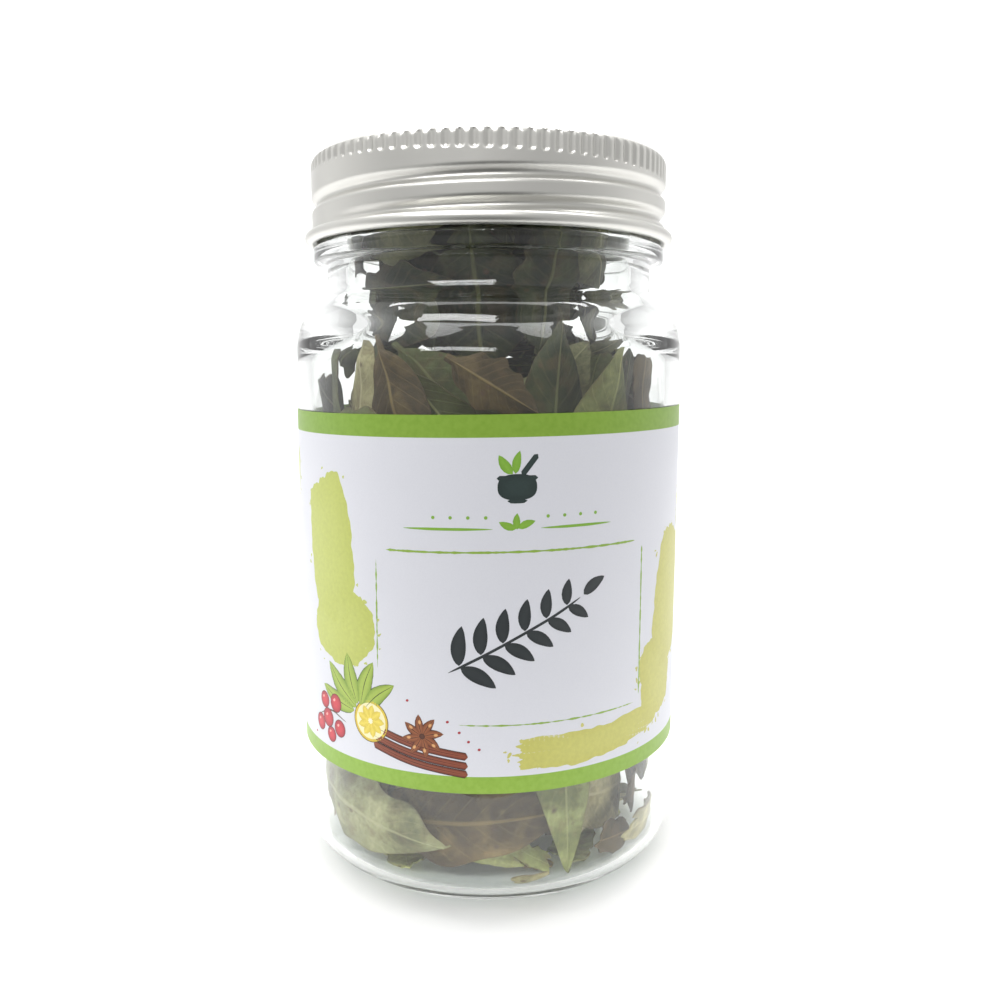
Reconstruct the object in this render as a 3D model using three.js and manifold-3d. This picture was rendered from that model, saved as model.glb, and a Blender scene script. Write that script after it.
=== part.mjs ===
// Screw-top glass jar filled with dried curry leaves.
// Millimetres, +Z up. The jar stands on z = 0 about the Z axis and the label's front faces -Y.
import * as THREE from 'three';
import { mergeGeometries, mergeVertices } from 'three/addons/utils/BufferGeometryUtils.js';
import Module from 'manifold-3d';

const wasm = await Module();
wasm.setup();

// ---- Driving dimensions ----------------------------------------------------------------------

const SEGMENTS = 48;                // facets round every turned piece
const CLEARANCE = 0.3;              // running gap between pieces that touch on the real jar

const BODY_RADIUS = 33;             // jar body, outside
const WALL = 2.4;                   // glass thickness of the body
const FLOOR = 2.8;                  // top of the glass floor at its edge
const PUNT = 1.4;                   // height of the push-up under the base
const REST_RING = [20.5, 23.3];     // radii of the flat ring the jar stands on
const HEEL_HEIGHT = 7.4;            // where the rounded heel meets the straight wall
const SHOULDER_BASE = 87.4;         // where the outside starts to draw in
const SHOULDER_RADII = [5, 8];      // quarter ellipse of the outer shoulder, across and up
const NECK_RADIUS = 27.6;           // outside of the neck, and the thread's root
const NECK_BORE = 24.2;             // inside of the neck
const NECK_START = 98;
const COLLAR_RADIUS = 29.8;         // plain bead between the neck and the cap
const COLLAR = [101.4, 104.1];      // its straight stretch
const LIP = 116.6;                  // sealing lip of the jar
const ROOM_SHOULDER = [85.5, 98.5]; // heights between which the inside narrows to the bore
const ROOM_HEEL = [4.4, 4];         // quarter ellipse of the inner heel, across and up

const LABEL_HEIGHT = 57.1;
const LABEL_BOTTOM = 21;
const LABEL_PAPER = 0.14;
const LABEL_GLUE = 0.05;            // gap left for the adhesive
const LABEL_SKEW = 0.012;           // the label is wrapped slightly out of true: rise per mm to +X

const CAP_TOP = 118.9;
const CAP_RADIUS = 29.9;            // outside of the skirt
const CAP_SHEET = 0.5;              // sheet thickness of the shell
const CAP_SKIRT = 106.9;            // where the rolled edge starts
const ROLL_RADIUS = 1.03;           // rolled edge, section radius
const KNURL_COUNT = 92;
const KNURL = [115.5, 117.9];       // heights of the knurled band
const KNURL_WIDTH = 1.15;
const KNURL_DEPTH = 0.3;
const LINER_THICKNESS = 1.2;

const THREAD_LEAD = 25.4 / 6;       // six threads to the inch
const THREAD_CREST = 28.9;          // jar thread, outside
const THREAD_SPAN = [108.6, 115.1]; // heights of the jar thread's two ends
const GROOVE_DEPTH = 0.9;           // thread pressed into the cap's skirt
const GROOVE_WIDTH = 2.8;
const GROOVE_SPAN = [107.1, 114.2];
const GROOVE_FRONT = 112.1;         // height of the cap's thread at the front
const THREAD_FADE = 0.7;            // rise over which a thread runs out

const LEAF_COUNT = 48;
const LEAF_THICKNESS = 0.6;
const LEAF_STALK = 0.08;            // share of a leaf's length that is stalk
const LEAF_STALK_WIDTH = 1.3;
const LEAF_SPACING = 1.35;          // between the middles of two leaves
const LEAF_MARGIN = 0.8;            // from a leaf's middle to the glass
const FILL_TOP = 112.5;             // the leaves reach this high in the neck
const LEAF_SEED = 20817;

// ---- Helpers ---------------------------------------------------------------------------------

const degrees = THREE.MathUtils.degToRad;
const clamp = THREE.MathUtils.clamp;
const smoothstep = THREE.MathUtils.smoothstep;

/** Inner radius of the jar at a height: rounded at the heel, straight, then drawn in. */
function roomRadius(z) {
  const straight = BODY_RADIUS - WALL;
  const narrowing = smoothstep(z, ROOM_SHOULDER[0], ROOM_SHOULDER[1]);
  const [across, up] = ROOM_HEEL;
  const drop = clamp((FLOOR + up - z) / up, 0, 1);
  const heel = across * (1 - Math.sqrt(1 - drop * drop));
  return straight - heel - (straight - NECK_BORE) * narrowing;
}

/** Turns a profile of [radius, height] points round Z. The profile is closed or ends on the axis. */
function turned(profile) {
  const points = profile.map(([radius, height]) => new THREE.Vector2(radius, height));
  return new THREE.LatheGeometry(points, SEGMENTS).rotateX(Math.PI / 2);
}

/** Points of a quarter or part ellipse in a profile, with its angles in degrees. */
function ellipsePoints(centre, radii, from, to, steps) {
  return Array.from({ length: steps + 1 }, (_, i) => {
    const angle = degrees(from + (to - from) * i / steps);
    return [centre[0] + radii[0] * Math.cos(angle), centre[1] + radii[1] * Math.sin(angle)];
  });
}

/** Closed surface over a grid: rows of points, each row a closed section, capped at both ends. */
function loft(rows) {
  const sides = rows[0].length;
  const faces = [];
  for (let row = 0; row < rows.length - 1; row++) {
    for (let side = 0; side < sides; side++) {
      const a = row * sides + side;
      const b = row * sides + (side + 1) % sides;
      faces.push(a, b + sides, b, a, a + sides, b + sides);
    }
  }
  const last = (rows.length - 1) * sides;
  for (let side = 1; side < sides - 1; side++) {
    faces.push(0, side, side + 1);
    faces.push(last, last + side + 1, last + side);
  }
  const geometry = new THREE.BufferGeometry();
  geometry.setAttribute('position', new THREE.Float32BufferAttribute(rows.flat(2), 3));
  geometry.setIndex(faces);
  return geometry;
}

function toSolid(geometry) {
  const bare = geometry.clone();
  bare.deleteAttribute('normal');
  bare.deleteAttribute('uv');
  const merged = mergeVertices(bare, 1e-4);
  return new wasm.Manifold(new wasm.Mesh({
    numProp: 3,
    vertProperties: new Float32Array(merged.attributes.position.array),
    triVerts: new Uint32Array(merged.index.array),
  }));
}

function toGeometry(solid) {
  const mesh = solid.getMesh();
  const geometry = new THREE.BufferGeometry();
  geometry.setAttribute('position', new THREE.BufferAttribute(mesh.vertProperties, 3));
  geometry.setIndex(new THREE.BufferAttribute(mesh.triVerts, 1));
  return geometry;
}

function piece(name, geometry, color, roughness, metalness = 0) {
  const material = new THREE.MeshStandardMaterial({ color, roughness, metalness });
  const mesh = new THREE.Mesh(geometry, material);
  mesh.name = name;
  return mesh;
}

// ---- Jar -------------------------------------------------------------------------------------

/** Height of a right-hand thread at an angle in degrees, given its height at the front (-90). */
function threadHeight(frontHeight, angle) {
  return frontHeight + THREAD_LEAD * (angle + 90) / 360;
}

/** How much of a thread's depth is left at a height, running out at both ends of its span. */
function threadStrength(height, span) {
  return smoothstep(height, span[0], span[0] + THREAD_FADE)
    * (1 - smoothstep(height, span[1] - THREAD_FADE, span[1]));
}

/** Rib of the jar's thread, sunk into the neck, half a lead off the cap's thread. */
function jarThread() {
  const frontHeight = GROOVE_FRONT - THREAD_LEAD / 2;
  const rows = [];
  const steps = Math.ceil((THREAD_SPAN[1] - THREAD_SPAN[0]) / THREAD_LEAD * SEGMENTS);
  for (let i = 0; i <= steps; i++) {
    const height = THREAD_SPAN[0] + (THREAD_SPAN[1] - THREAD_SPAN[0]) * i / steps;
    const angle = degrees((height - frontHeight) / THREAD_LEAD * 360 - 90);
    const strength = threadStrength(height, THREAD_SPAN);
    const crest = NECK_RADIUS - 0.1 + (THREAD_CREST - NECK_RADIUS + 0.1) * strength;
    const section = [[NECK_RADIUS - 0.8, -1], [crest, -0.45], [crest, 0.45], [NECK_RADIUS - 0.8, 1]];
    rows.push(section.map(([radius, rise]) => [
      radius * Math.cos(angle), radius * Math.sin(angle), height + rise,
    ]));
  }
  return loft(rows);
}

function jarProfile() {
  const heelRadii = [BODY_RADIUS - REST_RING[1], HEEL_HEIGHT];
  const shoulderCentre = [BODY_RADIUS - SHOULDER_RADII[0], SHOULDER_BASE];
  const roomHeights = [NECK_START + 0.5, 96.8, 95, 93.2, 91.2, 88.8, ROOM_SHOULDER[0]];
  const heelHeights = [1, 0.8, 0.55, 0.3, 0.12, 0].map((share) => FLOOR + ROOM_HEEL[1] * share);
  return [
    [0, PUNT],
    [REST_RING[0] - 3, PUNT],
    [REST_RING[0], 0],
    ...ellipsePoints([REST_RING[1], HEEL_HEIGHT], heelRadii, -90, 0, 5),
    ...ellipsePoints(shoulderCentre, SHOULDER_RADII, 0, 72, 5),
    [NECK_RADIUS + 0.5, 96.2],
    [NECK_RADIUS, NECK_START],
    [NECK_RADIUS, COLLAR[0] - 0.8],
    [COLLAR_RADIUS, COLLAR[0]],
    [COLLAR_RADIUS, COLLAR[1]],
    [COLLAR_RADIUS - 0.4, COLLAR[1] + 0.4],
    [NECK_RADIUS, COLLAR[1] + 0.4],
    [NECK_RADIUS, LIP - 1],
    [NECK_RADIUS - 1, LIP],
    [NECK_BORE + 0.9, LIP],
    [NECK_BORE, LIP - 0.9],
    ...roomHeights.map((height) => [roomRadius(height), height]),
    ...heelHeights.map((height) => [roomRadius(height), height]),
    [0, FLOOR + 0.6],
  ];
}

function jarGeometry() {
  return toGeometry(toSolid(turned(jarProfile())).add(toSolid(jarThread())));
}

// ---- Label -----------------------------------------------------------------------------------

/** Paper wrap with a narrow gap at its seam at the back, its facets in line with the jar's. */
function labelGeometry() {
  const inner = BODY_RADIUS + LABEL_GLUE;
  const outer = inner + LABEL_PAPER;
  const seam = 90 + 180 / SEGMENTS;
  const arc = (radius) => Array.from({ length: SEGMENTS }, (_, i) => {
    const angle = degrees(seam + 180 / SEGMENTS + i * 360 / SEGMENTS);
    return new THREE.Vector2(radius * Math.cos(angle), radius * Math.sin(angle));
  });
  const shape = new THREE.Shape([...arc(outer), ...arc(inner).reverse()]);
  const geometry = new THREE.ExtrudeGeometry(shape, { depth: LABEL_HEIGHT, bevelEnabled: false });
  geometry.translate(0, 0, LABEL_BOTTOM);
  const place = geometry.attributes.position;
  for (let i = 0; i < place.count; i++) {
    place.setZ(i, place.getZ(i) + LABEL_SKEW * place.getX(i));
  }
  return geometry;
}

// ---- Cap -------------------------------------------------------------------------------------

/** Depth of the thread pressed into the cap at a point of its skirt. */
function grooveDepth(x, y, z) {
  const angle = THREE.MathUtils.radToDeg(Math.atan2(y, x));
  let depth = 0;
  for (const turn of [-720, -360, 0, 360]) {
    const height = threadHeight(GROOVE_FRONT, angle + turn);
    const offset = Math.abs(z - height) / (GROOVE_WIDTH / 2);
    if (offset < 1) {
      const section = Math.cos(offset * Math.PI / 2) ** 2;
      depth = Math.max(depth, GROOVE_DEPTH * section * threadStrength(height, GROOVE_SPAN));
    }
  }
  return depth;
}

/** One-piece shell: flat top, skirt with its pressed thread, and an outward rolled edge. */
function capShell() {
  const inner = CAP_RADIUS - CAP_SHEET;
  const rollCentre = [CAP_RADIUS + 0.22, CAP_SKIRT - ROLL_RADIUS];
  const skirtRows = Array.from({ length: 10 }, (_, i) => KNURL[0] - 0.4 - i * 0.83);
  const profile = [
    [0, CAP_TOP],
    [CAP_RADIUS - 1.3, CAP_TOP],
    [CAP_RADIUS - 0.4, CAP_TOP - 0.35],
    [CAP_RADIUS, CAP_TOP - 1],
    ...skirtRows.map((height) => [CAP_RADIUS, height]),
    ...ellipsePoints(rollCentre, [ROLL_RADIUS, ROLL_RADIUS], 90, -150, 6),
    ...skirtRows.reverse().map((height) => [inner, height]),
    [inner, CAP_TOP - CAP_SHEET - 0.5],
    [inner - 0.6, CAP_TOP - CAP_SHEET],
    [0, CAP_TOP - CAP_SHEET],
  ];
  const geometry = turned(profile.reverse());
  const place = geometry.attributes.position;
  for (let i = 0; i < place.count; i++) {
    const [x, y, z] = [place.getX(i), place.getY(i), place.getZ(i)];
    const radius = Math.hypot(x, y);
    if (radius > inner - 0.01 && z > CAP_SKIRT && z < KNURL[0]) {
      const scale = 1 - grooveDepth(x, y, z) / radius;
      place.setXY(i, x * scale, y * scale);
    }
  }
  return geometry;
}

/** The knurled band's slots, as one set of blocks to cut from the shell. */
function knurlSlots() {
  const height = KNURL[1] - KNURL[0];
  const slots = Array.from({ length: KNURL_COUNT }, (_, i) => {
    const slot = new THREE.BoxGeometry(2 * KNURL_DEPTH, KNURL_WIDTH, height);
    slot.translate(CAP_RADIUS, 0, KNURL[0] + height / 2);
    return slot.rotateZ(i * 2 * Math.PI / KNURL_COUNT);
  });
  return mergeGeometries(slots);
}

function capGeometry() {
  return toGeometry(toSolid(capShell()).subtract(toSolid(knurlSlots())));
}

function linerGeometry() {
  const top = CAP_TOP - CAP_SHEET - CLEARANCE;
  const radius = CAP_RADIUS - CAP_SHEET - 2 * CLEARANCE;
  return turned([[0, top - LINER_THICKNESS], [radius, top - LINER_THICKNESS], [radius, top], [0, top]]);
}

// ---- Leaves ----------------------------------------------------------------------------------

const LEAF_FINISHES = {
  dark: { color: 0x4b5240, roughness: 0.8 },
  grey: { color: 0x84866e, roughness: 0.85 },
  olive: { color: 0x8d8b62, roughness: 0.8 },
  brown: { color: 0x74604c, roughness: 0.85 },
  tan: { color: 0xb3a88c, roughness: 0.85 },
};

// Leaves that show through the clear bands above and below the label, by azimuth from the
// front (towards +X), height, turn of the long axis from the horizontal, lean of the top
// towards the axis, length, width and finish.
const FRONT_LEAVES = [
  { azimuth: 24, height: 23.3, turn: -88, lean: 0, length: 37, width: 12, finish: 'olive' },
  { azimuth: -9, height: 13.4, turn: 4, lean: 0, length: 36, width: 17.5, finish: 'brown' },
  { azimuth: -50, height: 13.6, turn: -10, lean: 0, length: 36, width: 17.5, finish: 'grey' },
  { azimuth: 58, height: 13.0, turn: -10, lean: 0, length: 32, width: 15, finish: 'tan' },
  { azimuth: 40, height: 21, turn: 78, lean: 2, length: 30, width: 13, finish: 'dark' },
  { azimuth: -88, height: 15.5, turn: 30, lean: 0, length: 34, width: 16, finish: 'tan' },
  { azimuth: 92, height: 15.5, turn: -24, lean: 0, length: 34, width: 16, finish: 'grey' },
  { azimuth: -5, height: 95.0, turn: -86, lean: 17, length: 26, width: 17, finish: 'dark' },
  { azimuth: 1, height: 82.2, turn: -32, lean: 1, length: 15.5, width: 9, finish: 'brown' },
  { azimuth: -30, height: 76.3, turn: -76, lean: 4, length: 29, width: 12.5, finish: 'brown' },
  { azimuth: -55, height: 78.5, turn: 80, lean: 4, length: 26, width: 12.5, finish: 'tan' },
  { azimuth: -43, height: 72.6, turn: 14, lean: 1, length: 22, width: 14, finish: 'olive' },
  { azimuth: -14, height: 75.5, turn: -50, lean: 3, length: 26, width: 10.5, finish: 'olive' },
  { azimuth: 23, height: 77, turn: 88, lean: 4, length: 30, width: 13, finish: 'dark' },
  { azimuth: 39, height: 74.5, turn: 80, lean: 3, length: 28, width: 12.5, finish: 'olive' },
  { azimuth: 58, height: 76, turn: 76, lean: 3, length: 30, width: 13, finish: 'dark' },
  { azimuth: 80, height: 76.5, turn: -80, lean: 3, length: 30, width: 13.5, finish: 'tan' },
  { azimuth: -77, height: 76, turn: 80, lean: 3, length: 30, width: 13.5, finish: 'dark' },
  { azimuth: -33, height: 98.5, turn: 84, lean: 8, length: 22, width: 13, finish: 'dark' },
  { azimuth: 25, height: 98.5, turn: 84, lean: 8, length: 22, width: 13, finish: 'dark' },
];
const FRONT_HALF = 84;              // degrees each side where the leaves listed above are kept in view
const SHARE_AT_WALL = 0.62;         // of the other leaves, those that lie against the glass

/** Park-Miller generator: the same draws on every run. */
function makeDraw(seed) {
  let state = seed;
  return (low, high) => {
    state = (state * 16807) % 2147483647;
    return low + (high - low) * state / 2147483647;
  };
}

/** One bent leaf: a height field over its own flat frame, placed inside the jar. */
class Leaf {
  constructor(form) {
    Object.assign(this, form);
    const azimuth = degrees(form.azimuth);
    const outward = new THREE.Vector3(Math.sin(azimuth), -Math.cos(azimuth), 0);
    const sideways = new THREE.Vector3(Math.cos(azimuth), Math.sin(azimuth), 0);
    const leaned = new THREE.Vector3(0, 0, 1).applyAxisAngle(sideways, degrees(form.lean));
    this.centre = outward.clone().multiplyScalar(form.radius).setZ(form.height);
    this.normal = outward.clone().applyAxisAngle(sideways, degrees(form.lean));
    this.turnAngle = degrees(form.turn);
    this.along = sideways.clone().multiplyScalar(Math.cos(this.turnAngle))
      .addScaledVector(leaned, Math.sin(this.turnAngle));
    this.across = this.normal.clone().cross(this.along);
  }

  /** Half the blade's width at a share of its length from the stalk's end. */
  halfWidth(share) {
    const blade = clamp((share - LEAF_STALK) / (1 - LEAF_STALK), 0, 1);
    const width = this.width / 2 * Math.sin(Math.PI * blade ** 0.8) ** 0.9;
    const stalk = share < 0.5 ? LEAF_STALK_WIDTH / 2 : 0;
    return Math.max(width, stalk);
  }

  /** Height of the leaf's middle surface over its flat frame. */
  rise(share, side) {
    const x = (share - 0.5) * this.length;
    const y = side * this.halfWidth(share);
    const bent = x * Math.cos(this.turnAngle) - y * Math.sin(this.turnAngle);
    const bend = Math.sqrt(this.bendRadius ** 2 - bent ** 2) - this.bendRadius;
    const wave = this.wave * Math.sin(2 * Math.PI * (1.6 * share + this.phase)) * side * Math.abs(side);
    return this.bendSign * bend - this.cup * side * side + wave + this.twist * x * y;
  }

  point(share, side, offset = 0) {
    const x = (share - 0.5) * this.length;
    const y = side * this.halfWidth(share);
    return this.centre.clone().addScaledVector(this.along, x).addScaledVector(this.across, y)
      .addScaledVector(this.normal, this.rise(share, side) + offset);
  }

  /** Middle-surface points, close enough together that no other leaf slips between them. */
  samples() {
    this.sampled ??= Array.from({ length: 17 * 9 }, (_, i) => this.point(
      Math.floor(i / 9) / 16, (i % 9) / 4 - 1));
    return this.sampled;
  }

  insideJar() {
    return this.samples().every(({ x, y, z }) => z > FLOOR + 0.6 + LEAF_MARGIN && z < FILL_TOP
      && Math.hypot(x, y) < roomRadius(z) - LEAF_MARGIN);
  }

  /** True if none of the other leaf's samples lies too close over or under this blade. */
  clearOf(other) {
    const reach = (this.length + other.length) / 2 + 2;
    if (this.centre.distanceTo(other.centre) > reach) return true;
    return other.samples().every((sample) => {
      const offset = sample.clone().sub(this.centre);
      const share = offset.dot(this.along) / this.length + 0.5;
      if (Math.abs(share - 0.5) > 0.5 + LEAF_SPACING / this.length) return true;
      const nearest = clamp(share, 0, 1);
      const half = this.halfWidth(nearest);
      const y = offset.dot(this.across);
      if (Math.abs(y) > half + LEAF_SPACING) return true;
      const side = half > 0 ? clamp(y / half, -1, 1) : 0;
      return Math.abs(offset.dot(this.normal) - this.rise(nearest, side)) > LEAF_SPACING;
    });
  }

  /** Closed blade: matching upper and lower grids joined round the edge. */
  geometry() {
    const shares = [LEAF_STALK, 0.2, 0.34, 0.5, 0.66, 0.82];
    const sides = [-1, -0.5, 0, 0.5, 1];
    const faceOf = (sign) => [
      this.skinPoint(0, 0, sign),
      ...shares.flatMap((share) => sides.map((side) => this.skinPoint(share, side, sign))),
      this.skinPoint(1, 0, sign),
    ];
    const upper = faceOf(1);
    const lower = faceOf(-1);
    const width = sides.length;
    const tip = upper.length - 1;
    const faces = [];
    const rim = [0];
    for (let i = 0; i < width - 1; i++) {
      faces.push([0, 2 + i, 1 + i], [tip, tip - width + i, tip - width + i + 1]);
      for (let row = 0; row < shares.length - 1; row++) {
        const a = 1 + row * width + i;
        faces.push([a, a + 1, a + 1 + width], [a, a + 1 + width, a + width]);
      }
    }
    for (let row = 0; row < shares.length; row++) rim.push(1 + row * width);
    rim.push(tip);
    for (let row = shares.length - 1; row >= 0; row--) rim.push((row + 1) * width);
    const under = upper.length;
    const index = faces.flatMap(([a, b, c]) => [a, c, b, a + under, b + under, c + under]);
    rim.forEach((a, i) => {
      const b = rim[(i + 1) % rim.length];
      index.push(b, a, a + under, b, a + under, b + under);
    });
    const geometry = new THREE.BufferGeometry();
    const points = [...upper, ...lower].flatMap((point) => point.toArray());
    geometry.setAttribute('position', new THREE.Float32BufferAttribute(points, 3));
    geometry.setIndex(index);
    return geometry;
  }

  /** Point of the upper (+1) or lower (-1) skin, half a thickness from the middle surface. */
  skinPoint(share, side, sign) {
    const step = 0.02;
    const near = clamp(share, step, 1 - step);
    const lengthwise = this.point(near + step, side).sub(this.point(near - step, side));
    const widthwise = this.point(near, side + step).sub(this.point(near, side - step));
    const normal = lengthwise.cross(widthwise).normalize();
    return this.point(share, side).addScaledVector(normal, sign * LEAF_THICKNESS / 2);
  }
}

/** Bends, cups, twists and waves a leaf the way drying does, from seeded draws. */
function dried(form, draw) {
  return {
    ...form,
    cup: draw(-0.4, 1.6),
    twist: draw(-0.006, 0.006),
    wave: draw(0.2, 0.7),
    phase: draw(0, 1),
  };
}

/** Slides a leaf from the glass towards the axis until it is clear of those already in. */
function settleAtWall(form, placed, deepest) {
  for (let depth = 1; depth <= deepest; depth += 0.5) {
    const radius = roomRadius(form.height) - depth;
    const leaf = new Leaf({ ...form, radius, bendRadius: Math.max(radius, 21), bendSign: 1 });
    if (leaf.insideJar() && placed.every((other) => leaf.clearOf(other) && other.clearOf(leaf))) {
      return leaf;
    }
  }
  return null;
}

function drawWallLeaf(draw, placed) {
  const azimuth = draw(-180, 180);
  const heights = Math.abs(azimuth) < FRONT_HALF ? [34, 58] : [14, 100];
  const form = dried({
    azimuth,
    height: draw(...heights),
    turn: draw(-90, 90),
    lean: draw(-6, 6),
    length: draw(27, 39),
    width: draw(12, 17),
  }, draw);
  const finish = draw(0, 1);
  return settleAtWall({ ...form, finish: finishFor(finish) }, placed, 6);
}

function drawInnerLeaf(draw, placed) {
  const form = dried({
    azimuth: draw(-180, 180),
    height: draw(12, 104),
    turn: draw(-90, 90),
    lean: draw(-70, 70),
    length: draw(26, 36),
    width: draw(11, 16),
    radius: draw(0, 21),
    bendRadius: draw(20, 40),
  }, draw);
  const bendSign = draw(0, 1) < 0.5 ? -1 : 1;
  const leaf = new Leaf({ ...form, bendSign, finish: finishFor(draw(0, 1)) });
  const free = leaf.insideJar() && placed.every((other) => leaf.clearOf(other) && other.clearOf(leaf));
  return free ? leaf : null;
}

function finishFor(value) {
  if (value < 0.34) return 'dark';
  if (value < 0.6) return 'grey';
  if (value < 0.78) return 'olive';
  return value < 0.92 ? 'brown' : 'tan';
}

function fillJar() {
  const draw = makeDraw(LEAF_SEED);
  const placed = [];
  for (const front of FRONT_LEAVES) {
    const leaf = settleAtWall(dried(front, draw), placed, 12);
    if (leaf) placed.push(leaf);
  }
  const wallLeaves = Math.round((LEAF_COUNT - placed.length) * SHARE_AT_WALL);
  while (placed.length < FRONT_LEAVES.length + wallLeaves) {
    const leaf = drawWallLeaf(draw, placed);
    if (leaf) placed.push(leaf);
  }
  while (placed.length < LEAF_COUNT) {
    const leaf = drawInnerLeaf(draw, placed);
    if (leaf) placed.push(leaf);
  }
  return placed;
}

// ---- Assembly --------------------------------------------------------------------------------

const jar = new THREE.Group();
jar.add(piece('jar', jarGeometry(), 0xe4e9e6, 0.05));
jar.add(piece('label', labelGeometry(), 0xdadbe2, 0.6));
jar.add(piece('cap', capGeometry(), 0xc9cbca, 0.35, 1));
jar.add(piece('cap_liner', linerGeometry(), 0xe8e6df, 0.8));
fillJar().forEach((leaf, i) => {
  const finish = LEAF_FINISHES[leaf.finish];
  const name = `leaf_${String(i + 1).padStart(2, '0')}`;
  jar.add(piece(name, leaf.geometry(), finish.color, finish.roughness));
});

export default jar;
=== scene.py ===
"""Looks of a screw-top glass jar of dried curry leaves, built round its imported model.

Lengths in the classes are millimetres, as in the part's source, and become metres only where a
mesh is made. The jar stands on z = 0 about the Z axis, and the front of its label faces -Y.
"""

import sys
import logging
import math
from collections.abc import Callable
from dataclasses import dataclass, field
from enum import Enum
from functools import partial

import bpy
import numpy as np
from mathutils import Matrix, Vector


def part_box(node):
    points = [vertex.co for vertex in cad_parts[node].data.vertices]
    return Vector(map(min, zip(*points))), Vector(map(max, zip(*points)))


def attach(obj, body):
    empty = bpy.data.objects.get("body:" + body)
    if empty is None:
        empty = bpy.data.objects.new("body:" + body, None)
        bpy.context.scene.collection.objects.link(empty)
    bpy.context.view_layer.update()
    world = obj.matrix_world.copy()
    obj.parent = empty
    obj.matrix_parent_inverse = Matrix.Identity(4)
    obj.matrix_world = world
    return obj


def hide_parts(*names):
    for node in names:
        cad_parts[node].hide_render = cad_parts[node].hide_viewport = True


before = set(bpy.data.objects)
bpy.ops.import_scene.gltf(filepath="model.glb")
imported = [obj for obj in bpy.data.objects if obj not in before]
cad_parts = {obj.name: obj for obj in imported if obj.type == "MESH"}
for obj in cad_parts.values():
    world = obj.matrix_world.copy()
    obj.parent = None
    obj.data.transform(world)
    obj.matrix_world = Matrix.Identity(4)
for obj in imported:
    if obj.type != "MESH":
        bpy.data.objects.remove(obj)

log = logging.getLogger("jar_of_curry_leaves")

MM = 0.001
Point = tuple[float, float]
Point3 = tuple[float, float, float]
Numbers = np.ndarray | float
Place = Callable[[np.ndarray, np.ndarray], np.ndarray]


# ---- Modelling helpers -------------------------------------------------------------------------


def deselect() -> None:
    """Leaves nothing selected and object mode on."""
    if bpy.context.object and bpy.context.object.mode != "OBJECT":
        bpy.ops.object.mode_set(mode="OBJECT")
    bpy.ops.object.select_all(action="DESELECT")


def select_only(piece: bpy.types.Object) -> None:
    """Selects one piece and makes it active."""
    deselect()
    piece.select_set(True)
    bpy.context.view_layer.objects.active = piece


def named(name: str) -> bpy.types.Object:
    """Names the active object and its mesh, and returns it."""
    piece = bpy.context.object
    piece.name = name
    piece.data.name = name
    return piece


def turn_profile(name: str, points: list[Point], steps: int) -> bpy.types.Object:
    """Draws a profile by extruding one vertex, spins a quarter round Z and copies it round.

    Args:
        name: the piece's name.
        points: radius and height of each corner, in mm, from the axis and back to it.
        steps: facets round the turn, a multiple of four.

    Returns:
        The closed piece, its doubles merged and its normals pointing out.
    """
    deselect()
    bpy.ops.mesh.primitive_plane_add(size=MM, location=(0.0, 0.0, 0.0))
    piece = named(name)
    bpy.ops.object.mode_set(mode="EDIT")
    bpy.ops.mesh.select_all(action="SELECT")
    bpy.ops.mesh.merge(type="CENTER")
    here = (0.0, 0.0)
    for index, point in enumerate(points):
        move = ((point[0] - here[0]) * MM, 0.0, (point[1] - here[1]) * MM)
        if index == 0:
            bpy.ops.transform.translate(value=move)
        else:
            bpy.ops.mesh.extrude_region_move(TRANSFORM_OT_translate={"value": move})
        here = point
    bpy.ops.mesh.select_all(action="SELECT")
    centre = (0.0, 0.0, 0.0)
    bpy.ops.mesh.spin(steps=steps // 4, angle=math.tau / 4.0, center=centre, axis=(0.0, 0.0, 1.0))
    for turn in (math.tau / 4.0, math.tau / 2.0):
        bpy.ops.mesh.select_all(action="SELECT")
        bpy.ops.mesh.duplicate()
        bpy.ops.transform.rotate(value=turn, orient_axis="Z", center_override=centre)
    bpy.ops.mesh.select_all(action="SELECT")
    bpy.ops.mesh.remove_doubles(threshold=2e-6)
    bpy.ops.mesh.normals_make_consistent(inside=False)
    bpy.ops.object.mode_set(mode="OBJECT")
    return piece


def coordinates(piece: bpy.types.Object) -> np.ndarray:
    """Returns a piece's vertices in mm, one row each."""
    flat = np.empty(len(piece.data.vertices) * 3)
    piece.data.vertices.foreach_get("co", flat)
    return flat.reshape(-1, 3) / MM


def polar(points: np.ndarray) -> tuple[np.ndarray, np.ndarray, np.ndarray]:
    """Returns how far points are from the axis, their angles from +X and their heights."""
    x, y, height = points.T
    return np.hypot(x, y), np.arctan2(y, x), height


def move_to(piece: bpy.types.Object, points: np.ndarray) -> None:
    """Moves a piece's vertices to points given in mm."""
    piece.data.vertices.foreach_set("co", (points * MM).astype(np.float32).ravel())
    piece.data.update()


def laid_grid(name: str, across: int, along: int, place: Place) -> bpy.types.Object:
    """Adds a grid and lays its vertices on a surface.

    Args:
        name: the piece's name.
        across: cells from side to side.
        along: cells from end to end.
        place: gives the points, in mm, for shares (0 to 1) across and along.

    Returns:
        The open sheet. Its UV map holds the two shares.
    """
    deselect()
    bpy.ops.mesh.primitive_grid_add(x_subdivisions=across, y_subdivisions=along, size=1.0)
    piece = named(name)
    shares = coordinates(piece) * MM + 0.5
    move_to(piece, place(shares[:, 0], shares[:, 1]))
    return piece


def thicken(piece: bpy.types.Object, thickness: float, offset: float = 0.0) -> None:
    """Gives a sheet its thickness in mm, offset from -1 (behind) to 1 (in front)."""
    select_only(piece)
    solidify = piece.modifiers.new("thickness", "SOLIDIFY")
    solidify.thickness = thickness * MM
    solidify.offset = offset
    bpy.ops.object.modifier_apply(modifier=solidify.name)


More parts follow.
